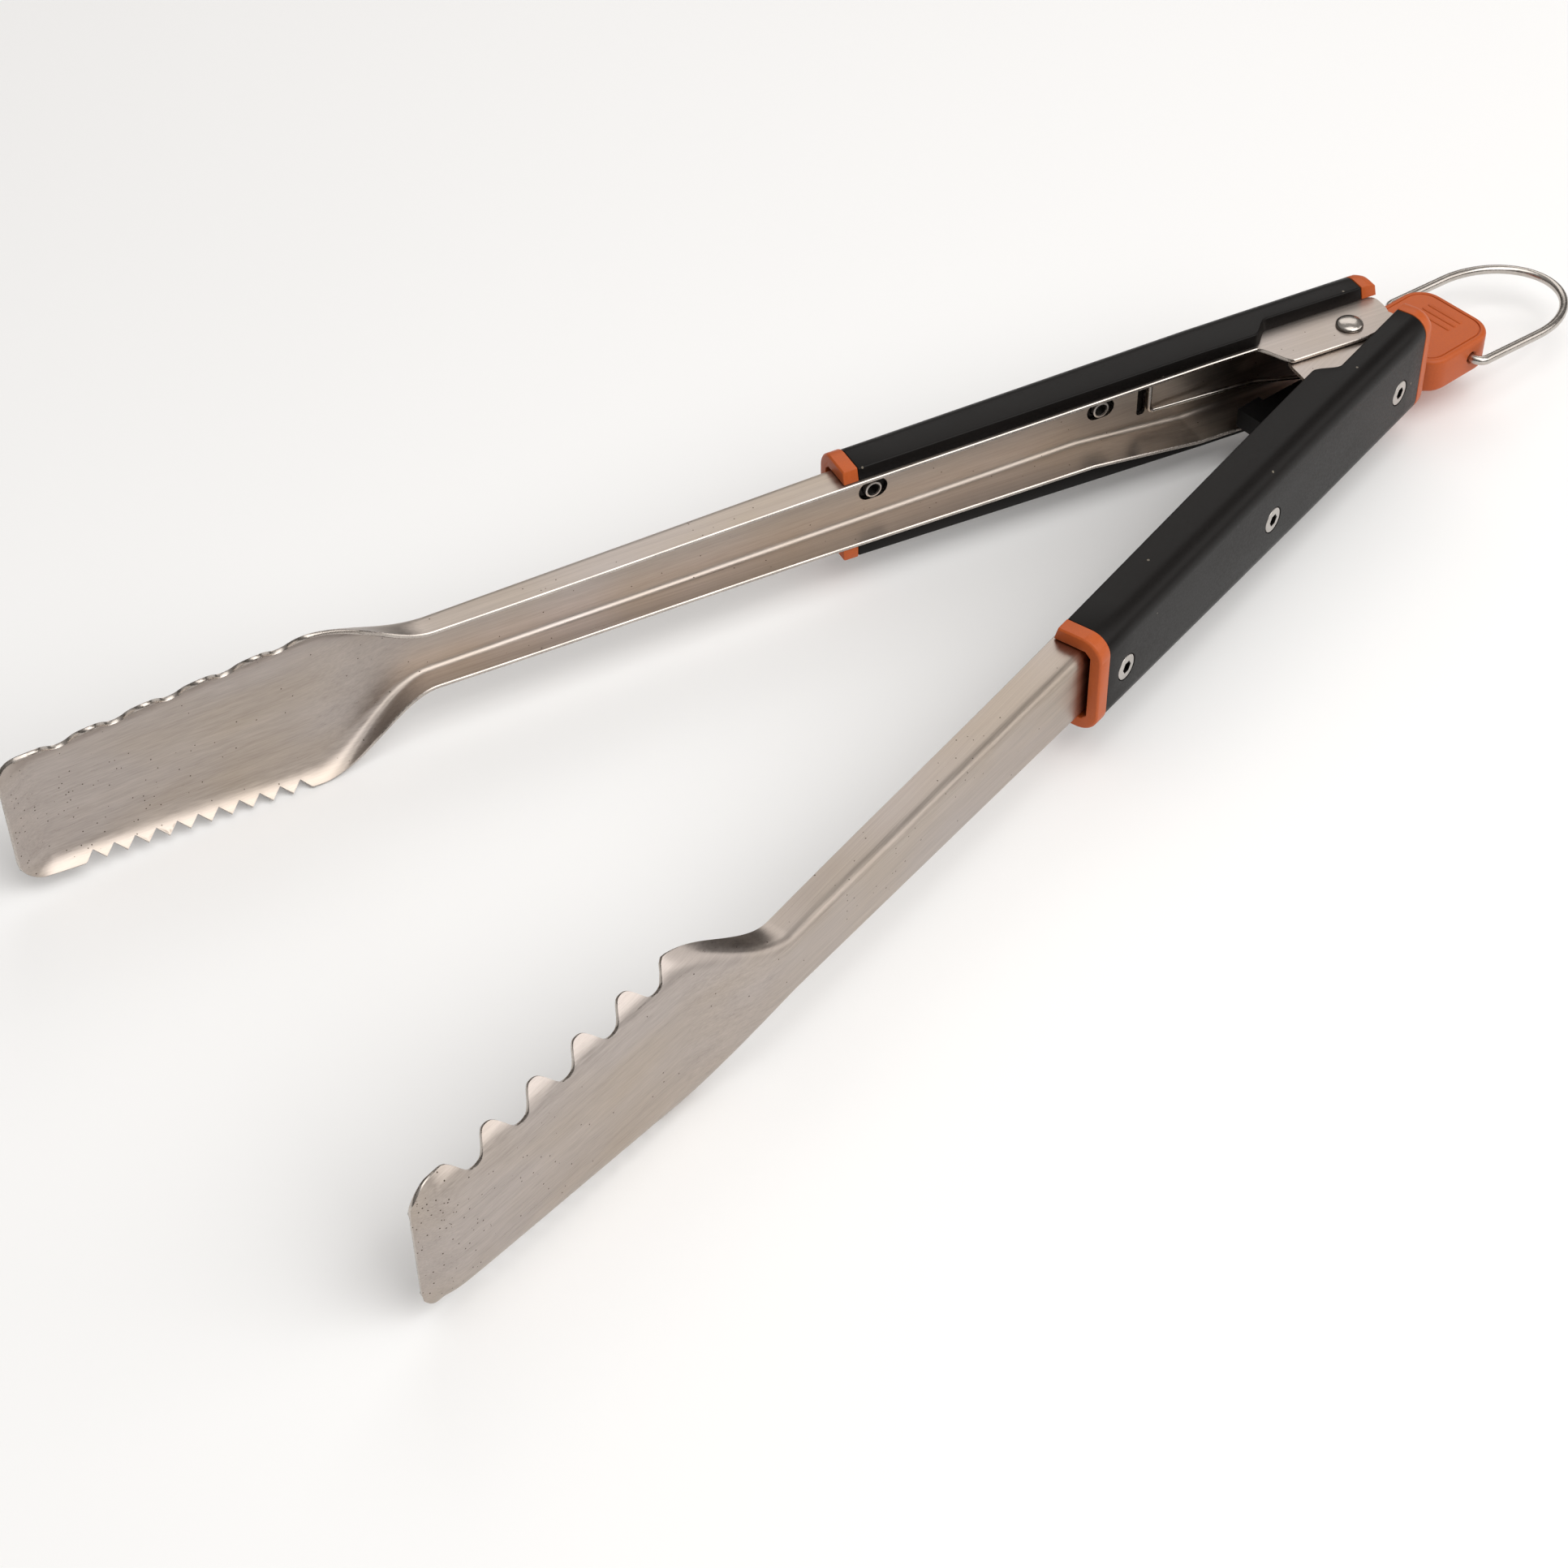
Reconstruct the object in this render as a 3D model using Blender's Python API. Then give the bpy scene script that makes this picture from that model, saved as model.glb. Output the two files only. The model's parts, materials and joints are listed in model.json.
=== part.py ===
"""Spring loaded kitchen tongs with a pull-to-lock slide and a hanging loop.

Each arm is drawn in its own coordinates, in millimetres: u runs from the hinge to the
tip, v runs outward from the hand's centre line, and z runs along the hinge pin. The
hinge pin is the origin of all of them. World axes are in metres: +X from the tips to
the hanging loop, +Y towards arm A and +Z up along the hinge pin.
"""

import math

import bmesh
import bpy
import numpy as np
from mathutils import Matrix, Vector

MM = 0.001
FIT_GAP = 0.3                    # clearance between touching pieces

# Whole tool
HINGE_X = 148.91                 # hinge pin from the origin, which is the box's bottom centre
HINGE_Z = 25.632
OPEN_HALF_ANGLE = math.radians(13.59)
ARM_LENGTH = 402.3               # hinge pin to tip
SHEET = 1.2                      # stainless sheet thickness

# Arm channel, outer sizes
CHANNEL_HALF_REAR = 14.29        # half height beside the hinge
CHANNEL_HALF_NECK = 10.35
CHANNEL_TAPER_START = 46.0
NECK_U = 284.0
WEB_REAR = 17.6                  # outer face of the web above the hinge
WEB_NECK = 9.9
LIP_V = 2.6                      # free edges of the channel's side walls
LIP_V_NECK = 1.3
LIP_TAPER_START = 160.0
BEND_RADIUS = 2.4
LOWER_STEP_START = 46.0          # the lower side wall steps down beside the lock
LOWER_STEP_END = 82.0
LOWER_STEP = 3.33
LOWER_STEP_NECK = 0.68
NEST_STEP = SHEET + FIT_GAP      # arm B's ears lie inside arm A's
NEST_START = 32.0
NEST_END = 45.0

# Hinge ears
EAR_V = -6.8                     # inner edge of the ears
EAR_CURVE_START = 22.8
EAR_CURVE_END = 30.0
ARM_REAR = -14.4
WEB_REAR_END = -8.5
PIN_DIAMETER = 4.0
PIN_HOLE = 4.6
RIVET_HEAD = 8.0
RIVET_HEAD_HEIGHT = 1.9
SLEEVE_DIAMETER = 6.0

# Head
SHOULDER_U = 321.0
EDGE_Z = 25.1                    # half height of the head at the shoulder
EDGE_Z_SLOPE = -0.062
EDGE_V = -2.1
EDGE_V_SLOPE = -0.0625
RIM = 5.6                        # slanted width of the head's rims
SCALLOP_ANGLE = math.radians(45.0)
TEETH_ANGLE = math.radians(58.0)
HEAD_BEND_RADIUS = 9.5
TIP_LIP = 8.0                    # length of the inward lip at the tip
TIP_LIP_SLOPE = 0.49
TIP_LIP_SOFTNESS = 2.5
TIP_CORNER = 6.5
TOOTH_PITCH = 5.72
TOOTH_DEPTH = 3.1
TEETH_START = 325.8
TOOTH_COUNT = 10
SCALLOP_PITCH = 2.6 * TOOTH_PITCH
SCALLOP_DEPTH = 5.75
SCALLOP_START = 325.5            # middle of the first bite
SCALLOP_COUNT = 5
LOBE_PROUD = 1.4                 # the lobes reach past the rim's edge line
LOBE_PROUD_TIP = 0.75

# Handle covers, collars and caps
COVER_REAR = -10.0
COVER_FRONT = 157.6
COVER_WALL = 3.6                 # upper side wall
COVER_WALL_LOWER = 1.2           # lower side wall beside the lock
COVER_WEB_REAR = 19.6            # outer face above the hinge
COVER_WEB_SLOPE = -0.0129
COVER_RADIUS = 6.0
COVER_RELIEF = 2.2               # clears the bend of the channel
COVER_EDGE = 3.2
COVER_EDGE_REAR = 8.6
COVER_DRAFT = 1.0                # slope of the upper wall's free edge
COVER_STEP_START = 22.5
COVER_STEP_END = 30.0
COLLAR_LENGTH = 4.4
COLLAR_PROUD = 0.25
CAP_LENGTH = 4.7
CAP_RELIEF = 5.0

# Fasteners
SCREW_U = (2.4, 73.6, 148.4)
SCREW_HEAD = 7.5
SCREW_HEAD_THICKNESS = 1.3
SCREW_SHANK = 3.0
HEX_ACROSS = 3.0
NUT_OUTER = 5.2
NUT_BORE = 3.7
SLOT_LENGTH = 9.2
SLOT_WIDTH = 6.2

# Spring
WIRE = 1.5
COIL_RADIUS = 4.5
COIL_PITCH = 1.75
BAIL_Z = 5.8
BAIL_U = 57.6
LEG_U = 40.0
LOWER_TURNS = 4
UPPER_TURNS = 2

# Lock slide
LOCK_TRAVEL = 7.0
SLIDE_BOTTOM = -11.3
SLIDE_TOP = -7.0
SLIDE_HEAD_TOP = -5.0
SLIDE_FRONT = -33.0
SLIDE_HEAD_BACK = -24.5
SLIDE_HALF_WIDTH = 10.0
SLIDE_STEM_HALF_WIDTH = 6.5
SLIDE_REAR = 31.0
LOCK_PIN_X = -30.0
LOCK_PIN_DIAMETER = 2.4
LOCK_PIN_TOP = -6.4
LOCK_PIN_BOTTOM = -15.0
NOTCH_U = 21.5                   # closed end of the notch that the pin enters
NOTCH_V = (-2.1, 1.1)
HOOK_V = -3.9                    # inner side of the hook below the notch
HOOK_ROOT_U = 19.2

# Pull tab and hanging loop
TAB_FRONT = 21.0
TAB_REAR = 51.1
TAB_HALF_WIDTH = 15.2
TAB_BOTTOM = -14.2
TAB_TOP = -2.9
TAB_CORNER = 8.0
TAB_EDGE = 1.0
LOOP_PIVOT_X = 40.3
LOOP_PIVOT_Z = -8.2
LOOP_DROOP = math.radians(5.4)
LOOP_WIRE = 2.8
LOOP_HALF_WIDTH = 18.6
LOOP_LENGTH = 53.8               # pivot to the centre of the wire at the far end
LOOP_BOW = 27.0                  # length of the rounded far end
LOOP_HOLE_DEPTH = 4.2


def clear_scene():
    for item in list(bpy.data.objects):
        bpy.data.objects.remove(item, do_unlink=True)


# ---------------------------------------------------------------- materials

def material(name, colour, roughness, metallic):
    """A Principled BSDF in linear colour."""
    made = bpy.data.materials.new(name)
    made.use_nodes = True
    shader = made.node_tree.nodes["Principled BSDF"]
    shader.inputs["Base Color"].default_value = (*colour, 1.0)
    shader.inputs["Roughness"].default_value = roughness
    shader.inputs["Metallic"].default_value = metallic
    return made


# ---------------------------------------------------------------- mesh helpers

def add_mesh(name, verts, faces, mat, parent, smooth_angle=35.0):
    """Make a closed, outward facing object from points in millimetres."""
    mesh = bpy.data.meshes.new(name)
    mesh.from_pydata([Vector(v) * MM for v in verts], [], faces)
    shell = bmesh.new()
    shell.from_mesh(mesh)
    bmesh.ops.recalc_face_normals(shell, faces=shell.faces)
    shell.to_mesh(mesh)
    shell.free()
    mesh.shade_smooth()
    mesh.set_sharp_from_angle(angle=math.radians(smooth_angle))
    made = bpy.data.objects.new(name, mesh)
    bpy.context.collection.objects.link(made)
    made.parent = parent
    if mat is not None:
        mesh.materials.append(mat)
    return made


def loft(rings):
    """Skin equal rings of points and close both ends."""
    count = len(rings[0])
    verts = [point for ring in rings for point in ring]
    faces = []
    for row in range(len(rings) - 1):
        for col in range(count):
            nxt = (col + 1) % count
            a, b = row * count, (row + 1) * count
            faces.append((a + col, a + nxt, b + nxt, b + col))
    faces.append(tuple(range(count)))
    last = (len(rings) - 1) * count
    faces.append(tuple(last + i for i in range(count)))
    return verts, faces


def prism(outline, low, high):
    """Extrude an (x, y) outline between two heights."""
    return loft([[(x, y, level) for x, y in outline] for level in (low, high)])


def turned(profile, segments, centre, axis):
    """Turn a (radius, height) profile, closed on itself, about an axis."""
    turn = Vector((0, 0, 1)).rotation_difference(Vector(axis)).to_matrix()
    rings = []
    for step in range(segments):
        angle = math.tau * step / segments
        rings.append([turn @ Vector((r * math.cos(angle), r * math.sin(angle), h))
                      + Vector(centre) for r, h in profile])
    count = len(profile)
    verts = [point for ring in rings for point in ring]
    faces = []
    for row in range(segments):
        after = (row + 1) % segments
        for col in range(count):
            nxt = (col + 1) % count
            faces.append((row * count + col, row * count + nxt,
                          after * count + nxt, after * count + col))
    return verts, faces


def disc_stack(profile, segments, centre, axis):
    """A solid turned piece: rings of (radius, height), closed by flat ends."""
    turn = Vector((0, 0, 1)).rotation_difference(Vector(axis)).to_matrix()
    rings = []
    for radius, height in profile:
        rings.append([turn @ Vector((radius * math.cos(math.tau * i / segments),
                                     radius * math.sin(math.tau * i / segments), height))
                      + Vector(centre) for i in range(segments)])
    return loft(rings)


def sheet_solid(middle, thickness):
    """Thicken a grid of mid-surface points, shape (rows, columns, 3)."""
    along = np.gradient(middle, axis=0)
    across = np.gradient(middle, axis=1)
    normal = np.cross(along, across)
    normal /= np.linalg.norm(normal, axis=2, keepdims=True)
    rows, cols = middle.shape[:2]
    outer = (middle + normal * thickness / 2).reshape(-1, 3)
    inner = (middle - normal * thickness / 2).reshape(-1, 3)
    size = rows * cols
    faces = []
    for r in range(rows - 1):
        for c in range(cols - 1):
            a, b = r * cols + c, (r + 1) * cols + c
            faces.append((a, a + 1, b + 1, b))
            faces.append((size + a, size + b, size + b + 1, size + a + 1))
    edge = [(r * cols, (r + 1) * cols) for r in range(rows - 1)]
    edge += [((rows - 1) * cols + c, (rows - 1) * cols + c + 1) for c in range(cols - 1)]
    edge += [((r + 1) * cols + cols - 1, r * cols + cols - 1) for r in range(rows - 1)]
    edge += [(c + 1, c) for c in range(cols - 1)]
    faces += [(a, b, size + b, size + a) for a, b in edge]
    return np.vstack((outer, inner)), faces


def cut(target, cutter):
    """Subtract a hidden cutter from an object."""
    cutter.hide_render = True
    cutter.display_type = "WIRE"
    step = target.modifiers.new(cutter.name, "BOOLEAN")
    step.operation = "DIFFERENCE"
    step.solver = "EXACT"
    step.object = cutter


def wire(name, points, diameter, mat, parent, resolution):
    """A round wire along points in millimetres."""
    curve = bpy.data.curves.new(name, "CURVE")
    curve.dimensions = "3D"
    curve.bevel_depth = diameter / 2 * MM
    curve.bevel_resolution = resolution
    curve.use_fill_caps = True
    spline = curve.splines.new("POLY")
    spline.points.add(len(points) - 1)
    for slot, point in zip(spline.points, points):
        slot.co = (*(Vector(point) * MM), 1.0)
    curve.materials.append(mat)
    made = bpy.data.objects.new(name, curve)
    bpy.context.collection.objects.link(made)
    made.parent = parent
    return made


def joint_empty(name, x, z, turn=0.0, parent=None):
    """An empty on a joint's axis."""
    made = bpy.data.objects.new(name, None)
    bpy.context.collection.objects.link(made)
    made.location = (x * MM, 0.0, z * MM)
    made.rotation_euler = (0.0, 0.0, turn)
    made.parent = parent
    return made


def smooth(value, start, end):
    """Ease from 0 at start to 1 at end."""
    t = min(max((value - start) / (end - start), 0.0), 1.0)
    return t * t * (3 - 2 * t)


def mix(a, b, t):
    return a + (b - a) * t


def ride(side, u, v, z):
    """Arm coordinates to the arm's own object axes."""
    return (-u, side * v, z)


# ---------------------------------------------------------------- arm shape

def channel_half(u):
    """Outer half height of the channel."""
    t = (u - CHANNEL_TAPER_START) / (NECK_U - CHANNEL_TAPER_START)
    return mix(CHANNEL_HALF_REAR, CHANNEL_HALF_NECK, min(max(t, 0.0), 1.0))


def web_face(u):
    """Outer face of the channel's web."""
    return mix(WEB_REAR, WEB_NECK, min(max(u / NECK_U, 0.0), 1.0))


def tooth_cut(u):
    """Depth of the saw teeth below the lower rim's edge line."""
    phase = (u - TEETH_START) / TOOTH_PITCH
    if phase <= 0 or phase >= TOOTH_COUNT:
        run_out = TOOTH_PITCH * 0.45
        past = max(TEETH_START - u, u - TEETH_START - TOOTH_COUNT * TOOTH_PITCH)
        return TOOTH_DEPTH * max(0.0, 1 - past / run_out)
    return TOOTH_DEPTH * abs(2 * (phase - math.floor(phase)) - 1)


def scallop_cut(u):
    """Depth of the round bites below the upper rim's edge line; the lobes stand proud of it."""
    phase = (u - SCALLOP_START) / SCALLOP_PITCH
    away = abs(phase - min(max(round(phase), 0), SCALLOP_COUNT - 1))
    proud = mix(LOBE_PROUD, LOBE_PROUD_TIP, min(max(phase / (SCALLOP_COUNT - 1), 0.0), 1.0))
    rounded = (1 + math.cos(math.tau * min(away, 0.5))) / 2
    bite = (1 - smooth(away, 0.11, 0.43) + rounded) / 2
    return SCALLOP_DEPTH * bite - proud * smooth(u, 298.0, SHOULDER_U)


def lower_step(u):
    """How much nearer the hand's centre plane the lower side wall lies than the upper one."""
    if u < LOWER_STEP_END:
        return LOWER_STEP * max(0.0, (u - LOWER_STEP_START) / (LOWER_STEP_END - LOWER_STEP_START))
    return mix(LOWER_STEP, LOWER_STEP_NECK, min((u - LOWER_STEP_END) / (NECK_U - LOWER_STEP_END), 1.0))


def ear_edge(u):
    """Free edge of the side walls, which swell inward into the hinge ears."""
    lip = mix(LIP_V, LIP_V_NECK, smooth(u, LIP_TAPER_START, NECK_U))
    return mix(EAR_V, lip, smooth(u, EAR_CURVE_START, EAR_CURVE_END))


def wall_columns(face, corner, angle, width, radius, notch, sign):
    """Points from a wall's free edge, through its bend, to the web."""
    tangent = radius * math.tan(angle / 2)
    straight = width - tangent
    bend = radius * angle
    end = max(straight + bend, notch + 1.0)
    points = []
    for along in (0.0, straight, straight + bend / 3, straight + bend * 2 / 3, straight + bend):
        s = mix(notch, end, along / (straight + bend))
        if s < straight:
            reach = width - s
            point = (face - reach * math.sin(angle), corner + reach * math.cos(angle))
        elif s < straight + bend:
            phi = angle * (1 - (s - straight) / bend)
            point = (face - radius * (1 - math.cos(phi)), corner - tangent + radius * math.sin(phi))
        else:
            point = (face, corner - tangent - (s - straight - bend))
        points.append((point[0], sign * point[1]))
    return points


def tip_drop(u):
    """How far the lip at the tip bends inward: flat, then a soft bend to a slope."""
    past = u - (ARM_LENGTH - TIP_LIP)
    return TIP_LIP_SLOPE * (math.hypot(past, TIP_LIP_SOFTNESS) + past) / 2


def arm_section(u, nested):
    """Mid-surface section of an arm at u, from the lower free edge to the upper one."""
    flare = smooth(u, NECK_U, SHOULDER_U)
    half = channel_half(u) - SHEET / 2
    if nested:
        half -= NEST_STEP * (1 - smooth(u, NEST_START, NEST_END))
    face_channel = web_face(u) - SHEET / 2
    edge_v = EDGE_V + EDGE_V_SLOPE * (u - SHOULDER_U)
    edge_z = EDGE_Z + EDGE_Z_SLOPE * (u - SHOULDER_U)
    depth = RIM * math.sin(SCALLOP_ANGLE)
    shallow = max(0.12, (depth - tip_drop(u)) / depth)
    face = mix(face_channel, edge_v + depth - tip_drop(u), flare)
    radius = mix(BEND_RADIUS, HEAD_BEND_RADIUS, flare)
    past = max(0.0, u - ARM_LENGTH + TIP_CORNER)
    corner_cut = TIP_CORNER - math.sqrt(max(0.0, TIP_CORNER ** 2 - past ** 2))
    sides = []
    for sign, rim_angle, notch in ((-1, TEETH_ANGLE, tooth_cut), (1, SCALLOP_ANGLE, scallop_cut)):
        head_angle = math.asin(math.sin(rim_angle) * shallow)
        angle = mix(math.pi / 2, head_angle, flare)
        width = mix(face_channel - ear_edge(u), RIM, flare)
        reach = half - lower_step(u) if sign < 0 else half
        corner = mix(reach, edge_z - RIM * math.cos(head_angle), flare)
        sides.append(wall_columns(face, corner, angle, width, radius, notch(u) + corner_cut, sign))
    lower, upper = sides
    middle = [(face, 0.0)]
    return lower + middle + upper[::-1]


def arm_stations():
    """Places along the arm where its section changes."""
    rear = [ARM_REAR - 3.0, 8.0]
    rear += list(np.linspace(EAR_CURVE_START, EAR_CURVE_END, 6))
    rear += list(np.linspace(NEST_START, NEST_END, 5))
    shaft = [LOWER_STEP_START, LOWER_STEP_END] + list(np.linspace(LIP_TAPER_START, NECK_U, 6))
    neck = list(np.linspace(NECK_U, TEETH_START - TOOTH_PITCH / 2, 12))[1:]
    step = TOOTH_PITCH / 4
    head = [TEETH_START + step * i for i in range(-1, 4 * TOOTH_COUNT + 3)]
    tip = [ARM_LENGTH - TIP_CORNER * (1 - math.sin(math.pi / 2 * i / 6)) for i in range(7)]
    bend = [head[-1] + (tip[0] - head[-1]) * i / 4 for i in range(1, 4)]
    return rear + shaft + neck + head + bend + tip


def rear_outline():
    """The waste behind the ears and the web, as a (u, v) outline."""
    ears = [(-4.0, EAR_V - 2.0), (-8.6, -5.4), (-12.0, -2.6), (ARM_REAR + 1.2, -0.6),
            (ARM_REAR, 8.8), (WEB_REAR_END, 9.8), (WEB_REAR_END, WEB_REAR + 3.0)]
    return ears + [(-30.0, WEB_REAR + 3.0), (-30.0, EAR_V - 2.0)]


def hook_waste():
    """The waste of the lock notch in a lower ear, as a (u, v) outline that leaves a hook."""
    low, high = NOTCH_V
    past = EAR_CURVE_END + 6.0
    return [(NOTCH_U, high), (past, high), (past, EAR_V - 5.0), (HOOK_ROOT_U, EAR_V - 5.0),
            (HOOK_ROOT_U, HOOK_V), (past - 4.0, HOOK_V), (past - 4.0, low), (NOTCH_U, low)]


def oblong(u, length, width, steps=6):
    """A (u, z) slot outline with round ends."""
    reach = (length - width) / 2
    points = []
    for centre, start in ((reach, -math.pi / 2), (-reach, math.pi / 2)):
        for i in range(steps + 1):
            angle = start + math.pi * i / steps
            points.append((u + centre + width / 2 * math.cos(angle), width / 2 * math.sin(angle)))
    return points


def through_web(name, side, outline, parent):
    """A cutter that passes through the web, from a (u, z) outline."""
    low, high = 5.0, 25.0
    rings = [[ride(side, u, v, z) for u, z in outline] for v in (low, high)]
    return add_mesh(name, *loft(rings), None, parent)


def arm_steel(name, side, nested, mat, parent):
    """One stamped stainless arm: ears, channel, neck and head."""
    middle = np.array([[ride(side, u, v, z) for v, z in arm_section(u, nested)]
                       for u in arm_stations()])
    arm = add_mesh(name, *sheet_solid(middle, SHEET), mat, parent, smooth_angle=40.0)
    reach = CHANNEL_HALF_REAR + 4.0
    waste = [(-u, side * v) for u, v in rear_outline()]
    cut(arm, add_mesh(name + "_rear_cutter", *prism(waste, -reach, reach), None, parent))
    hole = disc_stack([(PIN_HOLE / 2, -reach), (PIN_HOLE / 2, reach)], 24, (0, 0, 0), (0, 0, 1))
    cut(arm, add_mesh(name + "_pin_cutter", *hole, None, parent))
    notch = [(-u, side * v) for u, v in hook_waste()]
    cut(arm, add_mesh(name + "_notch_cutter", *prism(notch, -reach, 0.0), None, parent))
    for number, u in enumerate(SCREW_U):
        slot = through_web(f"{name}_slot_cutter_{number}", side,
                           oblong(u, SLOT_LENGTH, SLOT_WIDTH), parent)
        cut(arm, slot)
    if not nested:
        window = [(BAIL_U + du, z) for du, z in ((0.6, -7.0), (3.4, -7.0), (3.4, 7.0), (0.6, 7.0))]
        cut(arm, through_web(name + "_window_cutter", side, window, parent))
    return arm


# ---------------------------------------------------------------- covers, collars and caps

def cover_edge(u):
    """Free edge of a cover's side walls, stepped back beside the hinge."""
    return mix(COVER_EDGE_REAR, COVER_EDGE, smooth(u, COVER_STEP_START, COVER_STEP_END))


def cover_section(u, proud, shrink, relief):
    """Closed (v, z) section of a U-shaped cover over the channel; relief cuts its inner corners."""
    inner_half = channel_half(u) + FIT_GAP
    inner_face = web_face(u) + FIT_GAP
    outer_face = COVER_WEB_REAR + COVER_WEB_SLOPE * u + proud - shrink
    edge = cover_edge(u)
    section = []
    for sign, wall, draft, step in ((-1, COVER_WALL_LOWER, 0.0, lower_step(u)),
                                    (1, COVER_WALL, COVER_DRAFT, 0.0)):
        outer_half = inner_half + wall + proud - shrink
        half = inner_half - step
        line = [(edge, half), (edge + draft, outer_half)]
        for k in range(6):
            phi = math.pi / 2 * k / 5
            line.append((outer_face - COVER_RADIUS * (1 - math.sin(phi)),
                         outer_half - COVER_RADIUS * (1 - math.cos(phi))))
        line = [(inner_face, half - relief), (inner_face - relief, half)] + line
        section += [(v, sign * z) for v, z in (line if sign < 0 else line[::-1])]
    return section


def cover_shell(name, side, stations, mat, parent, relief=COVER_RELIEF):
    """Loft a U-shaped shell through (u, proud, shrink) stations."""
    rings = []
    for u, proud, shrink in stations:
        rings.append([ride(side, u, v, z) for v, z in cover_section(u, proud, shrink, relief)])
    return add_mesh(name, *loft(rings), mat, parent, smooth_angle=30.0)


def handle_cover(name, side, mat, parent):
    stations = [COVER_REAR, COVER_STEP_START]
    stations += list(np.linspace(COVER_STEP_START, COVER_STEP_END, 6))[1:]
    stations += [LOWER_STEP_START, LOWER_STEP_END, COVER_FRONT]
    cover = cover_shell(name, side, [(u, 0.0, 0.0) for u in stations], mat, parent)
    for number, u in enumerate(SCREW_U):
        face = COVER_WEB_REAR + COVER_WEB_SLOPE * u
        seat = face - SCREW_HEAD_THICKNESS - FIT_GAP
        profile = [(NUT_OUTER / 2 + FIT_GAP, 8.0 - face), (NUT_OUTER / 2 + FIT_GAP, seat - face),
                   (SCREW_HEAD / 2 + FIT_GAP, seat - face), (SCREW_HEAD / 2 + FIT_GAP, 3.0)]
        bore = disc_stack(profile, 24, ride(side, u, face, 0), (0, side, 0))
        cut(cover, add_mesh(f"{name}_bore_cutter_{number}", *bore, None, parent))
    return cover


def front_collar(name, side, mat, parent):
    start = COVER_FRONT + FIT_GAP
    end = start + COLLAR_LENGTH
    stations = [(start, COLLAR_PROUD, 0.0), (end - 1.0, COLLAR_PROUD, 0.0), (end, COLLAR_PROUD, 0.7)]
    return cover_shell(name, side, stations, mat, parent)


def rear_cap(name, side, mat, parent):
    start = COVER_REAR - FIT_GAP
    stations = [(start, 0.0, 0.0), (start - 2.2, 0.0, 0.0),
                (start - CAP_LENGTH + 1.3, 0.0, 0.4), (start - CAP_LENGTH, 0.0, 0.8)]
    return cover_shell(name, side, stations, mat, parent, CAP_RELIEF)


# ---------------------------------------------------------------- fasteners

def hexagon(across, depth_low, depth_high, centre, side):
    radius = across / math.sqrt(3)
    rings = []
    for level in (depth_low, depth_high):
        rings.append([(centre[0] + radius * math.cos(math.tau * i / 6), centre[1] + side * level,
                       centre[2] + radius * math.sin(math.tau * i / 6)) for i in range(6)])
    return loft(rings)


def cover_screw(name, side, u, mat, parent):
    """Flat socket screw through a handle cover."""
    face = COVER_WEB_REAR + COVER_WEB_SLOPE * u
    shank_end = web_face(u) - SHEET + 0.8 - face
    profile = [(SCREW_SHANK / 2, shank_end), (SCREW_SHANK / 2, -SCREW_HEAD_THICKNESS),
               (SCREW_HEAD / 2, -SCREW_HEAD_THICKNESS), (SCREW_HEAD / 2, -0.15),
               (SCREW_HEAD / 2 - 0.35, 0.1)]
    centre = ride(side, u, face, 0)
    screw = add_mesh(name, *disc_stack(profile, 24, centre, (0, side, 0)), mat, parent, 30.0)
    socket = hexagon(HEX_ACROSS, -0.9, 1.0, centre, side)
    cut(screw, add_mesh(name + "_cutter", *socket, None, parent))
    return screw


def barrel_nut(name, side, u, mat, parent):
    """Threaded sleeve that shows in the web's slot."""
    face = COVER_WEB_REAR + COVER_WEB_SLOPE * u
    inner_end = web_face(u) - SHEET - 0.4
    outer_end = face - SCREW_HEAD_THICKNESS - 2 * FIT_GAP
    profile = [(NUT_BORE / 2, inner_end), (NUT_OUTER / 2 - 0.3, inner_end),
               (NUT_OUTER / 2, inner_end + 0.3), (NUT_OUTER / 2, outer_end), (NUT_BORE / 2, outer_end)]
    return add_mesh(name, *turned(profile, 20, ride(side, u, 0, 0), (0, side, 0)), mat, parent, 30.0)


# ---------------------------------------------------------------- hinge and spring

def hinge_rivet(mat, parent):
    """Rivet with a domed head above and below the outer ears."""
    seat = CHANNEL_HALF_REAR + 0.15
    dome = []
    for step in range(5):
        phi = math.pi / 2 * step / 5
        dome.append((RIVET_HEAD / 2 * math.cos(phi), seat + 0.4 + (RIVET_HEAD_HEIGHT - 0.4) * math.sin(phi)))
    top = [(RIVET_HEAD / 2, seat)] + dome
    profile = [(r, -z) for r, z in top[::-1]] + [(PIN_DIAMETER / 2, -seat), (PIN_DIAMETER / 2, seat)] + top
    return add_mesh("hinge_rivet", *disc_stack(profile, 28, (0, 0, 0), (0, 0, 1)), mat, parent, 40.0)


def hinge_sleeve(mat, parent):
    """Spacer tube that keeps the ears apart."""
    half = CHANNEL_HALF_REAR - SHEET - NEST_STEP - FIT_GAP
    bore = PIN_DIAMETER / 2 + FIT_GAP
    profile = [(bore, -half), (SLEEVE_DIAMETER / 2, -half), (SLEEVE_DIAMETER / 2, half), (bore, half)]
    return add_mesh("hinge_sleeve", *turned(profile, 24, (0, 0, 0), (0, 0, 1)), mat, parent)


def arm_point(side, u, v, z):
    """Arm coordinates at rest to hinge coordinates."""
    c, s = math.cos(OPEN_HALF_ANGLE), math.sin(OPEN_HALF_ANGLE)
    return Vector((-c * u + s * v, side * (s * u + c * v), z))


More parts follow.
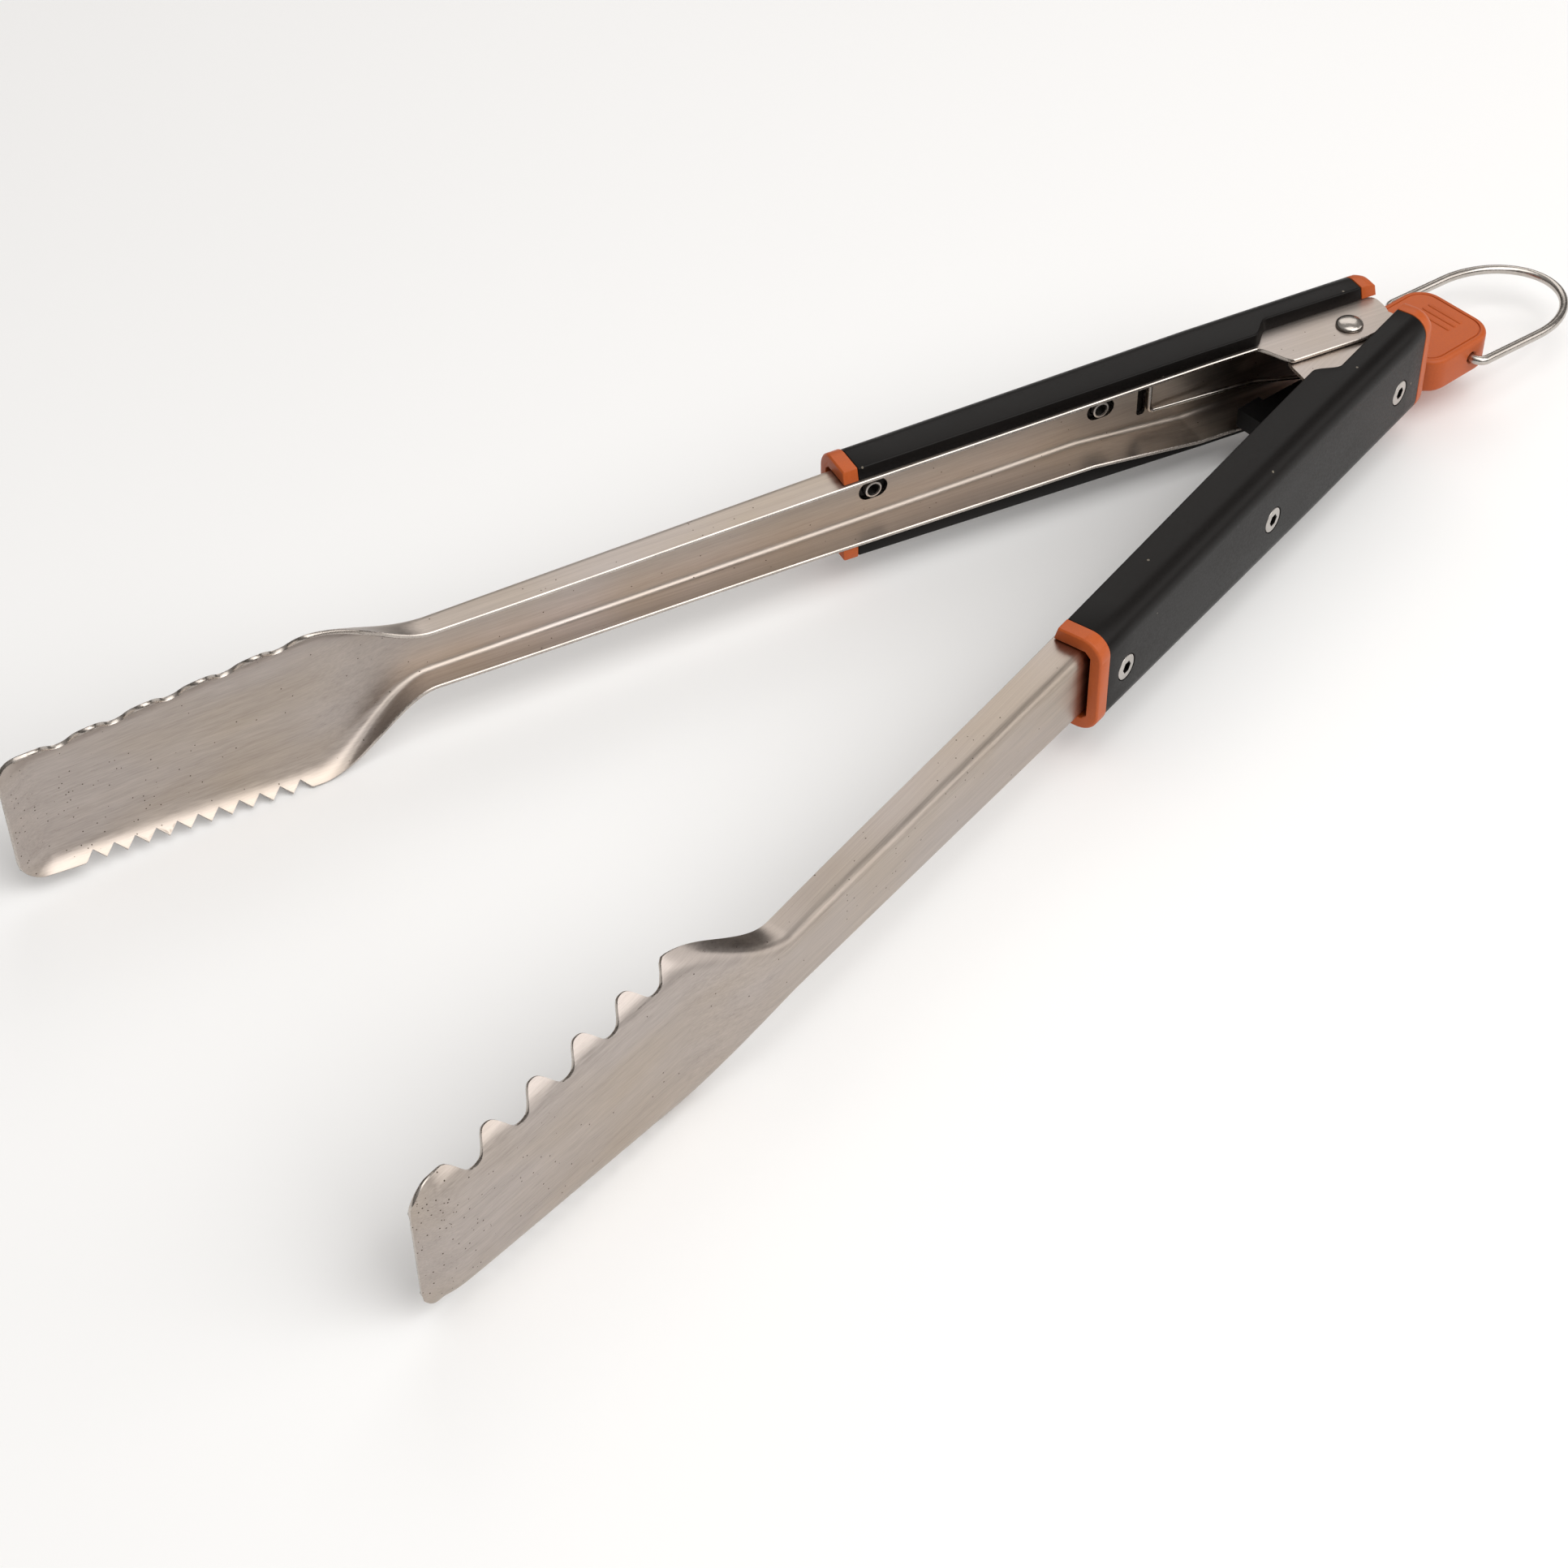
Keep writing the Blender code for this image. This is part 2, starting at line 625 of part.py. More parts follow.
def torsion_spring(mat, parent):
    """Two coils on the sleeve, a bail against web A and two legs against web B."""
    inner_web = SHEET + FIT_GAP + WIRE / 2
    bail_v = web_face(BAIL_U) - inner_web
    leg_v = web_face(LEG_U) - inner_web
    per_turn = 14
    start = math.radians(90) - OPEN_HALF_ANGLE      # leaves towards arm A
    finish = math.radians(-90) + OPEN_HALF_ANGLE    # leaves towards arm B

    def coil(first_z, last_z, first, last):
        steps = max(2, round(abs(last - first) / math.tau * per_turn))
        return [Vector((COIL_RADIUS * math.cos(mix(first, last, i / steps)),
                        COIL_RADIUS * math.sin(mix(first, last, i / steps)),
                        mix(first_z, last_z, i / steps))) for i in range(steps + 1)]

    lower_top = -BAIL_Z + COIL_PITCH * (LOWER_TURNS + 0.5)
    upper_top = BAIL_Z + COIL_PITCH * (UPPER_TURNS + 0.5)
    sweep = math.tau * LOWER_TURNS
    path = [arm_point(-1, LEG_U, leg_v, lower_top)]
    path += coil(lower_top, -BAIL_Z, finish - sweep, start)
    path.append(arm_point(1, 23.0, 12.0, -BAIL_Z))
    for u, dz in ((BAIL_U - 1.5, 0.0), (BAIL_U - 0.4, 0.5), (BAIL_U, 1.6)):
        path.append(arm_point(1, u, bail_v, -BAIL_Z + dz))
    for u, dz in ((BAIL_U, 1.6), (BAIL_U - 0.4, 0.5), (BAIL_U - 1.5, 0.0)):
        path.append(arm_point(1, u, bail_v, BAIL_Z - dz))
    path.append(arm_point(1, 23.0, 12.0, BAIL_Z))
    path += coil(BAIL_Z, upper_top, start, finish - math.tau * UPPER_TURNS)
    path.append(arm_point(-1, LEG_U, leg_v, upper_top))
    return wire("torsion_spring", path, WIRE, mat, parent, 1)


# ---------------------------------------------------------------- lock

def lock_slide(mat, parent):
    """Flat slide around the hinge sleeve, with a thick head at its front."""
    neck = SLIDE_HEAD_BACK
    half, stem = SLIDE_HALF_WIDTH, SLIDE_STEM_HALF_WIDTH
    plan = [(SLIDE_FRONT, -half), (neck, -half), (12.0, -half + 1.0), (17.0, -stem), (SLIDE_REAR, -stem),
            (SLIDE_REAR, stem), (17.0, stem), (12.0, half - 1.0), (neck, half), (SLIDE_FRONT, half)]
    slide = add_mesh("lock_slide", *prism(plan, SLIDE_BOTTOM, SLIDE_HEAD_TOP), mat, parent, 30.0)
    lid = [(neck, -20.0), (SLIDE_REAR + 5.0, -20.0), (SLIDE_REAR + 5.0, 20.0), (neck, 20.0)]
    cut(slide, add_mesh("lock_slide_step_cutter", *prism(lid, SLIDE_TOP, 0.0), None, parent))
    width = SLEEVE_DIAMETER + 2 * FIT_GAP
    slot = [(x - LOCK_TRAVEL / 2, y) for x, y in oblong(0.0, LOCK_TRAVEL + width, width, 8)]
    cut(slide, add_mesh("lock_slide_slot_cutter", *prism(slot, -20.0, 0.0), None, parent))
    bore = LOCK_PIN_DIAMETER / 2 + FIT_GAP
    hole = disc_stack([(bore, SLIDE_BOTTOM - 2.0), (bore, LOCK_PIN_TOP + FIT_GAP)], 16,
                      (LOCK_PIN_X, 0, 0), (0, 0, 1))
    cut(slide, add_mesh("lock_slide_pin_cutter", *hole, None, parent))
    return slide


def lock_pin(mat, parent):
    """Upright pin below the slide, which enters the notches of the lower ears."""
    radius = LOCK_PIN_DIAMETER / 2
    profile = [(radius - 0.3, LOCK_PIN_BOTTOM), (radius, LOCK_PIN_BOTTOM + 0.3), (radius, LOCK_PIN_TOP)]
    return add_mesh("lock_pin", *disc_stack(profile, 16, (LOCK_PIN_X, 0, 0), (0, 0, 1)), mat, parent)


def rounded_rectangle(x_low, x_high, half_width, radius, steps=5):
    """An (x, y) outline with round corners."""
    points = []
    for cx, cy, start in ((x_high - radius, half_width - radius, 0.0),
                          (x_low + radius, half_width - radius, 90.0),
                          (x_low + radius, radius - half_width, 180.0),
                          (x_high - radius, radius - half_width, 270.0)):
        for i in range(steps + 1):
            angle = math.radians(start + 90.0 * i / steps)
            points.append((cx + radius * math.cos(angle), cy + radius * math.sin(angle)))
    return points


def pull_tab(mat, parent):
    """Moulded tab over the slide's stem, with holes for the hanging loop."""
    levels = [(TAB_BOTTOM, TAB_EDGE), (TAB_BOTTOM + TAB_EDGE, 0.0), (TAB_TOP - TAB_EDGE, 0.0),
              (TAB_TOP, TAB_EDGE)]
    rings = []
    for level, inset in levels:
        outline = rounded_rectangle(TAB_FRONT + inset, TAB_REAR - inset, TAB_HALF_WIDTH - inset,
                                    TAB_CORNER - inset)
        rings.append([(x, y, level) for x, y in outline])
    tab = add_mesh("pull_tab", *loft(rings), mat, parent, 30.0)
    gap = FIT_GAP
    pocket = [(0.0, -SLIDE_STEM_HALF_WIDTH - gap), (SLIDE_REAR + gap, -SLIDE_STEM_HALF_WIDTH - gap),
              (SLIDE_REAR + gap, SLIDE_STEM_HALF_WIDTH + gap), (0.0, SLIDE_STEM_HALF_WIDTH + gap)]
    cut(tab, add_mesh("pull_tab_pocket_cutter", *prism(pocket, SLIDE_BOTTOM - gap, SLIDE_TOP + gap), None, parent))
    for number, side in enumerate((-1, 1)):
        start = TAB_HALF_WIDTH - LOOP_HOLE_DEPTH
        profile = [(LOOP_WIRE / 2 + gap, start), (LOOP_WIRE / 2 + gap, TAB_HALF_WIDTH + 2.0)]
        hole = disc_stack(profile, 16, (LOOP_PIVOT_X, 0, LOOP_PIVOT_Z), (0, side, 0))
        cut(tab, add_mesh(f"pull_tab_hole_cutter_{number}", *hole, None, parent))
    return tab


def hanging_loop(mat, parent):
    """Bent wire with its ends turned into the tab's side holes, drooping a little."""
    bend = 3.0
    reach = LOOP_HALF_WIDTH
    half = [(0.0, TAB_HALF_WIDTH - LOOP_HOLE_DEPTH + 0.5), (0.0, reach - bend)]
    for step in range(1, 5):
        angle = math.pi / 2 * step / 4
        half.append((bend * (1 - math.cos(angle)), reach - bend * (1 - math.sin(angle))))
    straight = LOOP_LENGTH - LOOP_BOW
    for step in range(13):
        angle = math.pi / 2 * step / 12
        half.append((straight + LOOP_BOW * math.sin(angle), reach * math.cos(angle)))
    flat = half + [(x, -y) for x, y in half[-2::-1]]
    path = [(x * math.cos(LOOP_DROOP), y, -x * math.sin(LOOP_DROOP)) for x, y in flat]
    return wire("hanging_loop", path, LOOP_WIRE, mat, parent, 2)


# ---------------------------------------------------------------- assembly

def build():
    clear_scene()
    steel = material("brushed_stainless", (0.38, 0.34, 0.30), 0.35, 1.0)
    bright = material("polished_steel", (0.60, 0.57, 0.53), 0.18, 1.0)
    zinc = material("satin_zinc", (0.55, 0.53, 0.50), 0.30, 1.0)
    black = material("black_plastic", (0.030, 0.027, 0.025), 0.45, 0.0)
    orange = material("orange_plastic", (0.52, 0.13, 0.045), 0.42, 0.0)

    core = joint_empty("core_axis", HINGE_X, HINGE_Z)
    arms = (("a", 1, False), ("b", -1, True))
    for letter, side, nested in arms:
        hinge = joint_empty(f"arm_{letter}_axis", HINGE_X, HINGE_Z, -side * OPEN_HALF_ANGLE)
        arm_steel(f"arm_{letter}_steel", side, nested, steel, hinge)
        handle_cover(f"handle_cover_{letter}", side, black, hinge)
        front_collar(f"front_collar_{letter}", side, orange, hinge)
        rear_cap(f"rear_cap_{letter}", side, orange, hinge)
        for number, u in enumerate(SCREW_U, start=1):
            cover_screw(f"cover_screw_{letter}{number}", side, u, zinc, hinge)
            barrel_nut(f"barrel_nut_{letter}{number}", side, u, zinc, hinge)

    hinge_rivet(bright, core)
    hinge_sleeve(zinc, core)
    torsion_spring(bright, core)
    slide = joint_empty("lock_axis", HINGE_X, HINGE_Z)
    lock_slide(black, slide)
    lock_pin(zinc, slide)
    pull_tab(orange, slide)
    pivot = joint_empty("loop_axis", HINGE_X + LOOP_PIVOT_X, HINGE_Z + LOOP_PIVOT_Z)
    hanging_loop(bright, pivot)


build()
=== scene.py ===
"""Looks of the kitchen tongs: detailed pieces, finishes, studio light and camera.

Arm coordinates are in millimetres: u runs from the hinge to the tip, v outward from the
hand's centre line, z along the hinge pin. An arm's pieces are drawn as (-u, side * v, z) in
an object that is turned about the hinge by the arm's opening angle.
"""

import json
import math

import bmesh
import bpy
import numpy as np
from mathutils import Matrix, Vector


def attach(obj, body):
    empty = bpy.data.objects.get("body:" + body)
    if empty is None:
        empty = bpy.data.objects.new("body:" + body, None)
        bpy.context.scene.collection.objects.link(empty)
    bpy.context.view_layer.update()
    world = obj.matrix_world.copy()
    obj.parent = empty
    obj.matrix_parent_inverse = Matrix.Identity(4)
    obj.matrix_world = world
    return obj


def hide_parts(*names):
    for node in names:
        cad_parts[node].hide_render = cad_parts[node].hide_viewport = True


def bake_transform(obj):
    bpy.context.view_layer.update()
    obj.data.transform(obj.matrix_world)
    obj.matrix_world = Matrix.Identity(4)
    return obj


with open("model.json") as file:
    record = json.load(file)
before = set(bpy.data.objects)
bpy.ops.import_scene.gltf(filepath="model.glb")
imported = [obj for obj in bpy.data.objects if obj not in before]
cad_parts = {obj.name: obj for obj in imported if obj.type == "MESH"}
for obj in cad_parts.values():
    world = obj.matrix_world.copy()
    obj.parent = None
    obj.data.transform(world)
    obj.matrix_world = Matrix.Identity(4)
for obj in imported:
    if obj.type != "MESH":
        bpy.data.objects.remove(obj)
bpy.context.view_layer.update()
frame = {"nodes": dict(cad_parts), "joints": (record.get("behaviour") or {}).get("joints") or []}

MM = 0.001
JOINTS = {joint["name"]: joint for joint in frame["joints"]}
HINGE = Vector(JOINTS["arm_a_hinge"]["pos_m"])
LOOP_PIVOT = Vector(JOINTS["loop_swing"]["pos_m"])
OPEN_HALF_ANGLE = math.radians(13.59)
EYE, LENS = (-594.84, -460.43, 548.17), 71.55          # camera, from the hinge
GAP = 0.3                        # clearance between pieces

# Arm channel
ARM_LENGTH = 402.3
SHEET = 1.2
HALF_REAR, HALF_NECK, TAPER_START, NECK_U = 14.29, 10.35, 46.0, 284.0
WEB_REAR, WEB_NECK = 17.6, 9.9
LIP_V, LIP_V_NECK, LIP_TAPER_START = 2.6, 1.3, 160.0
BEND_RADIUS = 2.4
LOWER_STEP_U, LOWER_STEP, LOWER_STEP_NECK = (46.0, 82.0), 3.33, 0.68
NEST_STEP, NEST_START, NEST_END = SHEET + GAP, 32.0, 45.0
EAR_V, EAR_CURVE = -6.8, (22.8, 30.0)
ARM_REAR, WEB_REAR_END = -14.4, -8.5
PIN_HOLE = 4.6
NOTCH_U, NOTCH_V, HOOK_V, HOOK_ROOT_U = 21.5, (-2.1, 1.1), -3.9, 19.2
CUT_EDGE = 0.24                  # rounding of the sheet's cut edges

# Head
SHOULDER_U = 321.0
EDGE_Z, EDGE_Z_SLOPE = 25.1, -0.062
EDGE_V, EDGE_V_SLOPE = -2.1, -0.0625
RIM = 5.6
SCALLOP_ANGLE, TEETH_ANGLE = math.radians(45.0), math.radians(58.0)
HEAD_BEND_RADIUS = 9.5
TIP_LIP, TIP_LIP_SLOPE, TIP_LIP_SOFTNESS, TIP_CORNER = 8.0, 0.49, 2.5, 6.5
TOOTH_PITCH, TOOTH_DEPTH, TEETH_START, TOOTH_COUNT = 5.72, 3.1, 325.8, 10
SCALLOP_PITCH, SCALLOP_DEPTH = 2.6 * TOOTH_PITCH, 5.75
SCALLOP_START, SCALLOP_COUNT = 325.5, 5
LOBE_PROUD, LOBE_PROUD_TIP = 1.4, 0.75

# Covers
COVER_REAR, COVER_FRONT = -10.0, 157.6
COVER_WALL, COVER_WALL_LOWER, COVER_DRAFT = 3.6, 1.2, 1.0
COVER_WEB, COVER_SLOPE, COVER_RADIUS, COVER_RELIEF = 19.6, -0.0129, 6.0, 2.2
COVER_EDGE, COVER_EDGE_REAR, COVER_STEP = 3.2, 8.6, (22.5, 30.0)
COLLAR_LENGTH, COLLAR_PROUD = 4.4, 0.25
COLLAR_BEVEL, COLLAR_RELIEF, COLLAR_SLACK = 0.5, 1.6, 0.9     # slack: extra room at the web
CAP_LENGTH, CAP_RELIEF = 4.7, 5.0

# Fasteners
SCREW_U = (2.4, 73.6, 148.4)
SCREW_HEAD, SCREW_THICKNESS, HEX_ACROSS = 7.5, 1.3, 3.0
NUT_OUTER, NUT_BORE = 5.2, 3.7
SLOT_LENGTH, SLOT_WIDTH = 9.2, 6.2
RIVET_HEAD, RIVET_HEIGHT, RIVET_PIN = 8.0, 1.9, 4.0

# Spring
WIRE, COIL_RADIUS, COIL_PITCH = 1.5, 4.5, 1.75
BAIL_Z, BAIL_U, LEG_U, LOWER_TURNS, UPPER_TURNS = 5.8, 57.6, 40.0, 4, 2

# Tab and loop, from the hinge pin
TAB_X, TAB_HALF_WIDTH, TAB_Z, TAB_CORNER, TAB_EDGE = (21.0, 51.1), 15.2, (-14.2, -2.9), 8.0, 1.4
LOOP_DROOP, LOOP_WIRE, LOOP_HALF_WIDTH = math.radians(5.4), 2.8, 18.6
LOOP_LENGTH, LOOP_BOW, LOOP_HOLE_DEPTH = 53.8, 27.0, 4.2
STEM_HALF_WIDTH, STEM_END, STEM_Z = 6.5, 31.0, (-11.3, -7.0)


# ---------------------------------------------------------------- small maths

def smooth(value, start, end):
    """Ease from 0 at start to 1 at end."""
    t = min(max((value - start) / (end - start), 0.0), 1.0)
    return t * t * (3 - 2 * t)


def mix(a, b, t):
    return a + (b - a) * t


def spaced(start, end, step):
    """Even places from start to end, about a step apart."""
    return list(np.linspace(start, end, max(2, round(abs(end - start) / step) + 1)))


def ride(side, u, v, z):
    return (-u, side * v, z)


def arm_place(side):
    """Matrix of an arm's pieces at rest."""
    return Matrix.Translation(HINGE) @ Matrix.Rotation(-side * OPEN_HALF_ANGLE, 4, "Z")


def arm_point(side, u, v, z):
    """Arm coordinates at rest, seen from the hinge."""
    c, s = math.cos(OPEN_HALF_ANGLE), math.sin(OPEN_HALF_ANGLE)
    return Vector((-c * u + s * v, side * (s * u + c * v), z))


# ---------------------------------------------------------------- materials

class Nodes:
    """A Principled material whose colour, roughness and bump come from object-space noise."""

    def __init__(self, name, roughness, metallic):
        self.made = bpy.data.materials.new(name)
        self.made.use_nodes = True
        self.tree = self.made.node_tree
        self.shader = self.tree.nodes["Principled BSDF"]
        self.shader.inputs["Roughness"].default_value = roughness
        self.shader.inputs["Metallic"].default_value = metallic
        self.place = self.tree.nodes.new("ShaderNodeTexCoord").outputs["Object"]

    def add(self, kind, **values):
        node = self.tree.nodes.new("ShaderNode" + kind)
        for name, value in values.items():
            setattr(node, name, value)
        return node

    def link(self, a, b):
        self.tree.links.new(a, b)

    def scaled(self, scale):
        """Object coordinates, stretched by a scale for each axis."""
        mapping = self.add("Mapping")
        mapping.inputs["Scale"].default_value = scale
        self.link(self.place, mapping.inputs["Vector"])
        return mapping.outputs["Vector"]

    def noise(self, scale, detail):
        node = self.add("TexNoise")
        node.inputs["Scale"].default_value = 1.0
        node.inputs["Detail"].default_value = detail
        node.inputs["Roughness"].default_value = 0.55
        self.link(self.scaled(scale), node.inputs["Vector"])
        return node.outputs["Fac"]

    def spots(self, scale, radius):
        """1 inside small round spots, else 0, and a random number for each spot."""
        cells = self.add("TexVoronoi")
        cells.inputs["Scale"].default_value = scale
        self.link(self.place, cells.inputs["Vector"])
        inside = self.math("LESS_THAN", cells.outputs["Distance"], radius)
        pick = self.add("SeparateColor")
        self.link(cells.outputs["Color"], pick.inputs["Color"])
        return inside, pick.outputs["Red"]

    def across_arm(self):
        """Direction in the surface, square to the brushing along the arm."""
        turn = self.add("VectorTransform", vector_type="VECTOR", convert_from="OBJECT",
                        convert_to="WORLD")
        turn.inputs["Vector"].default_value = (1.0, 0.0, 0.0)
        cross = self.add("VectorMath", operation="CROSS_PRODUCT")
        self.link(turn.outputs["Vector"], cross.inputs[0])
        self.link(self.add("NewGeometry").outputs["Normal"], cross.inputs[1])
        return cross.outputs["Vector"]

    def near_tip(self, amount):
        """A little along the whole arm, more on the last part of its head."""
        split = self.add("SeparateXYZ")
        self.link(self.place, split.inputs["Vector"])
        return self.span(split.outputs["X"], amount, amount * 0.12, -0.395, -0.33)

    def math(self, operation, a, b):
        node = self.add("Math", operation=operation)
        for slot, value in zip(node.inputs, (a, b)):
            if isinstance(value, (int, float)):
                slot.default_value = value
            else:
                self.link(value, slot)
        return node.outputs["Value"]

    def ramp(self, factor, stops):
        """A colour ramp through (position, (r, g, b)) stops."""
        node = self.add("ValToRGB")
        while len(node.color_ramp.elements) < len(stops):
            node.color_ramp.elements.new(0.5)
        for element, (position, colour) in zip(node.color_ramp.elements, stops):
            element.position = position
            element.color = (*colour, 1.0)
        self.link(factor, node.inputs["Fac"])
        return node.outputs["Color"]

    def span(self, factor, low, high, start=0.3, end=0.7):
        """Maps a noise value to a range."""
        node = self.add("MapRange")
        for name, value in (("From Min", start), ("From Max", end), ("To Min", low), ("To Max", high)):
            node.inputs[name].default_value = value
        self.link(factor, node.inputs["Value"])
        return node.outputs["Result"]

    def blend(self, factor, a, b, kind="MIX"):
        node = self.add("Mix", data_type="RGBA", blend_type=kind)
        for slot, value in ((node.inputs["Factor"], factor), (node.inputs[6], a), (node.inputs[7], b)):
            if isinstance(value, (int, float)):
                slot.default_value = value
            elif isinstance(value, tuple):
                slot.default_value = (*value, 1.0)
            else:
                self.link(value, slot)
        return node.outputs[2]

    def bump(self, height, strength, distance, below=None):
        node = self.add("Bump")
        node.inputs["Strength"].default_value = strength
        node.inputs["Distance"].default_value = distance
        self.link(height, node.inputs["Height"])
        if below is not None:
            self.link(below, node.inputs["Normal"])
        return node.outputs["Normal"]

    def finish(self, colour=None, roughness=None, normal=None, **constants):
        for name, value in (("Base Color", colour), ("Roughness", roughness), ("Normal", normal)):
            if value is not None:
                self.link(value, self.shader.inputs[name])
        for name, value in constants.items():
            self.shader.inputs[name.replace("_", " ")].default_value = value
        return self.made


def brushed_steel(name, pale, deep, rough, pits):
    """Stainless sheet brushed along the arm, with faint stains and small pits."""
    m = Nodes(name, rough, 1.0)
    fine = m.noise((25.0, 2600.0, 2600.0), 3.0)
    broad = m.noise((7.0, 420.0, 420.0), 3.0)
    cloud = m.noise((14.0, 30.0, 30.0), 3.0)
    streak = m.blend(0.45, fine, broad)
    colour = m.ramp(streak, [(0.30, deep), (0.70, pale)])
    stain = m.ramp(cloud, [(0.40, (1.0, 1.0, 1.0)), (0.72, (1.0, 0.955, 0.86))])
    colour = m.blend(1.0, colour, stain, "MULTIPLY")
    inside, chance = m.spots(760.0, 0.15)
    cluster = m.span(m.noise((45.0, 45.0, 45.0), 2.0), 1.0, 0.2, 0.45, 0.65)
    rare = m.math("LESS_THAN", m.math("MULTIPLY", chance, cluster), m.near_tip(pits))
    colour = m.blend(m.math("MULTIPLY", inside, rare), colour, (0.09, 0.07, 0.055))
    roughness = m.span(streak, rough - 0.05, rough + 0.09)
    roughness = m.math("ADD", roughness, m.span(cloud, -0.02, 0.03))
    normal = m.bump(fine, 0.10, 0.00004, m.bump(broad, 0.05, 0.00010))
    m.link(m.across_arm(), m.shader.inputs["Tangent"])
    return m.finish(colour, roughness, normal, Anisotropic=0.75)


def bright_metal(name, pale, deep, rough, grain=900.0):
    """Bright metal with fine drawing marks."""
    m = Nodes(name, rough, 1.0)
    marks = m.noise((grain, grain, grain), 3.0)
    cloud = m.noise((90.0, 90.0, 90.0), 2.0)
    colour = m.ramp(m.blend(0.5, marks, cloud), [(0.32, deep), (0.68, pale)])
    roughness = m.span(marks, rough - 0.04, rough + 0.08)
    return m.finish(colour, roughness, m.bump(marks, 0.08, 0.00004))


def moulded(name, pale, deep, rough, grain, specks, speck_colour, gloss):
    """Satin plastic with a fine moulded grain, worn tone and dust specks."""
    m = Nodes(name, rough, 0.0)
    texture = m.noise((grain, grain, grain), 4.0)
    cloud = m.noise((22.0, 60.0, 60.0), 3.0)
    colour = m.ramp(m.blend(0.6, texture, cloud), [(0.32, deep), (0.68, pale)])
    inside, chance = m.spots(230.0, 0.085)
    rare = m.math("LESS_THAN", chance, specks)
    colour = m.blend(m.math("MULTIPLY", inside, rare), colour, speck_colour)
    roughness = m.math("ADD", m.span(texture, rough - 0.05, rough + 0.06), m.span(cloud, -0.03, 0.03))
    normal = m.bump(texture, 0.16, 0.00006)
    return m.finish(colour, roughness, normal, Specular_IOR_Level=gloss)


STEEL = brushed_steel("brushed_stainless", (0.52, 0.465, 0.43), (0.37, 0.325, 0.30), 0.31, 0.25)
CUT = bright_metal("cut_edge", (0.60, 0.55, 0.50), (0.36, 0.32, 0.29), 0.26, 1500.0)
POLISHED = bright_metal("polished_steel", (0.58, 0.54, 0.50), (0.44, 0.40, 0.365), 0.20)
ZINC = bright_metal("satin_zinc", (0.60, 0.57, 0.54), (0.44, 0.41, 0.38), 0.34, 1400.0)
# Painted shade: near-black metal for the screws' hexagon sockets, the screw ends seen in the nuts and the
# nut bores, which are dark only from shade.
PAINTED_SOCKET_SHADE = bright_metal("socket_shade", (0.035, 0.032, 0.03), (0.012, 0.011, 0.010), 0.5)
BLACK = moulded("black_plastic", (0.0072, 0.0058, 0.0052), (0.0040, 0.0033, 0.0030), 0.38, 1600.0, 0.10,
                (0.16, 0.14, 0.11), 0.15)
DARK = moulded("black_slide", (0.004, 0.0035, 0.0035), (0.0025, 0.0022, 0.0022), 0.5, 1600.0, 0.03,
               (0.04, 0.035, 0.03), 0.2)
ORANGE = moulded("orange_plastic", (0.52, 0.110, 0.024), (0.43, 0.082, 0.017), 0.40, 1500.0, 0.02,
                 (0.58, 0.20, 0.07), 0.26)


# ---------------------------------------------------------------- meshes

def piece(name, verts, faces, mats, place, body, slot_name, sharp=35.0, edge_faces=()):
    """A shown piece from points in millimetres, which rides on a CAD body."""
    mesh = bpy.data.meshes.new(name)
    mesh.from_pydata([Vector(v) * MM for v in verts], [], [tuple(f) for f in faces])
    for mat in mats:
        mesh.materials.append(mat)
    for index in edge_faces:
        mesh.polygons[index].material_index = 1
    shell = bmesh.new()
    shell.from_mesh(mesh)
    bmesh.ops.recalc_face_normals(shell, faces=shell.faces)
    shell.to_mesh(mesh)
    shell.free()
    mesh.shade_smooth()
    mesh.set_sharp_from_angle(angle=math.radians(sharp))
    made = bpy.data.objects.new(name, mesh)
    bpy.context.scene.collection.objects.link(made)
    made.matrix_world = place
    if body:
        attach(made, body)
    return made


def carve(target, cutters, edge=0.0, sharp=35.0):
    """Round the target's edges, cut the cutters' shapes away, and keep the result as its mesh."""
    bpy.context.view_layer.update()
    if edge:
        step = target.modifiers.new("edge", "BEVEL")
        step.width = edge * MM
        step.segments = 3
        step.limit_method = "ANGLE"
        step.angle_limit = math.radians(40)
    for cutter in cutters:
        step = target.modifiers.new(cutter.name, "BOOLEAN")
        step.operation = "DIFFERENCE"
        step.solver = "EXACT"
        step.object = cutter
    graph = bpy.context.evaluated_depsgraph_get()
    graph.update()
    mesh = bpy.data.meshes.new_from_object(target.evaluated_get(graph))
    target.modifiers.clear()
    target.data = mesh
    mesh.shade_smooth()
    mesh.set_sharp_from_angle(angle=math.radians(sharp))
    for cutter in cutters:
        bpy.data.objects.remove(cutter)
    return target


def loft(rings):
    """Skin equal rings of points and close both ends."""
    count = len(rings[0])
    verts = [point for ring in rings for point in ring]
    faces = []
    for row in range(len(rings) - 1):
        for col in range(count):
            nxt = (col + 1) % count
            a, b = row * count, (row + 1) * count
            faces.append((a + col, a + nxt, b + nxt, b + col))
    last = (len(rings) - 1) * count
    return verts, faces + [tuple(range(count)), tuple(last + i for i in range(count))]


def disc_stack(profile, segments, centre, axis):
    """A solid turned piece: rings of (radius, height), closed by flat ends."""
    turn = Vector((0, 0, 1)).rotation_difference(Vector(axis)).to_matrix()
    rings = []
    for radius, height in profile:
        rings.append([turn @ Vector((radius * math.cos(math.tau * i / segments),
                                     radius * math.sin(math.tau * i / segments), height))
                      + Vector(centre) for i in range(segments)])
    return loft(rings)


def turned(profile, segments, centre, axis):
    """Turn a (radius, height) profile, closed on itself, about an axis."""
    verts, faces = disc_stack(profile + profile[:1], segments, centre, axis)
    count = segments * len(profile)
    return verts[:count], [tuple(i % count for i in face) for face in faces[:-2]]


def cutter(verts, faces, place, mat):
    return piece("cutter", verts, faces, [mat], place, None, None)


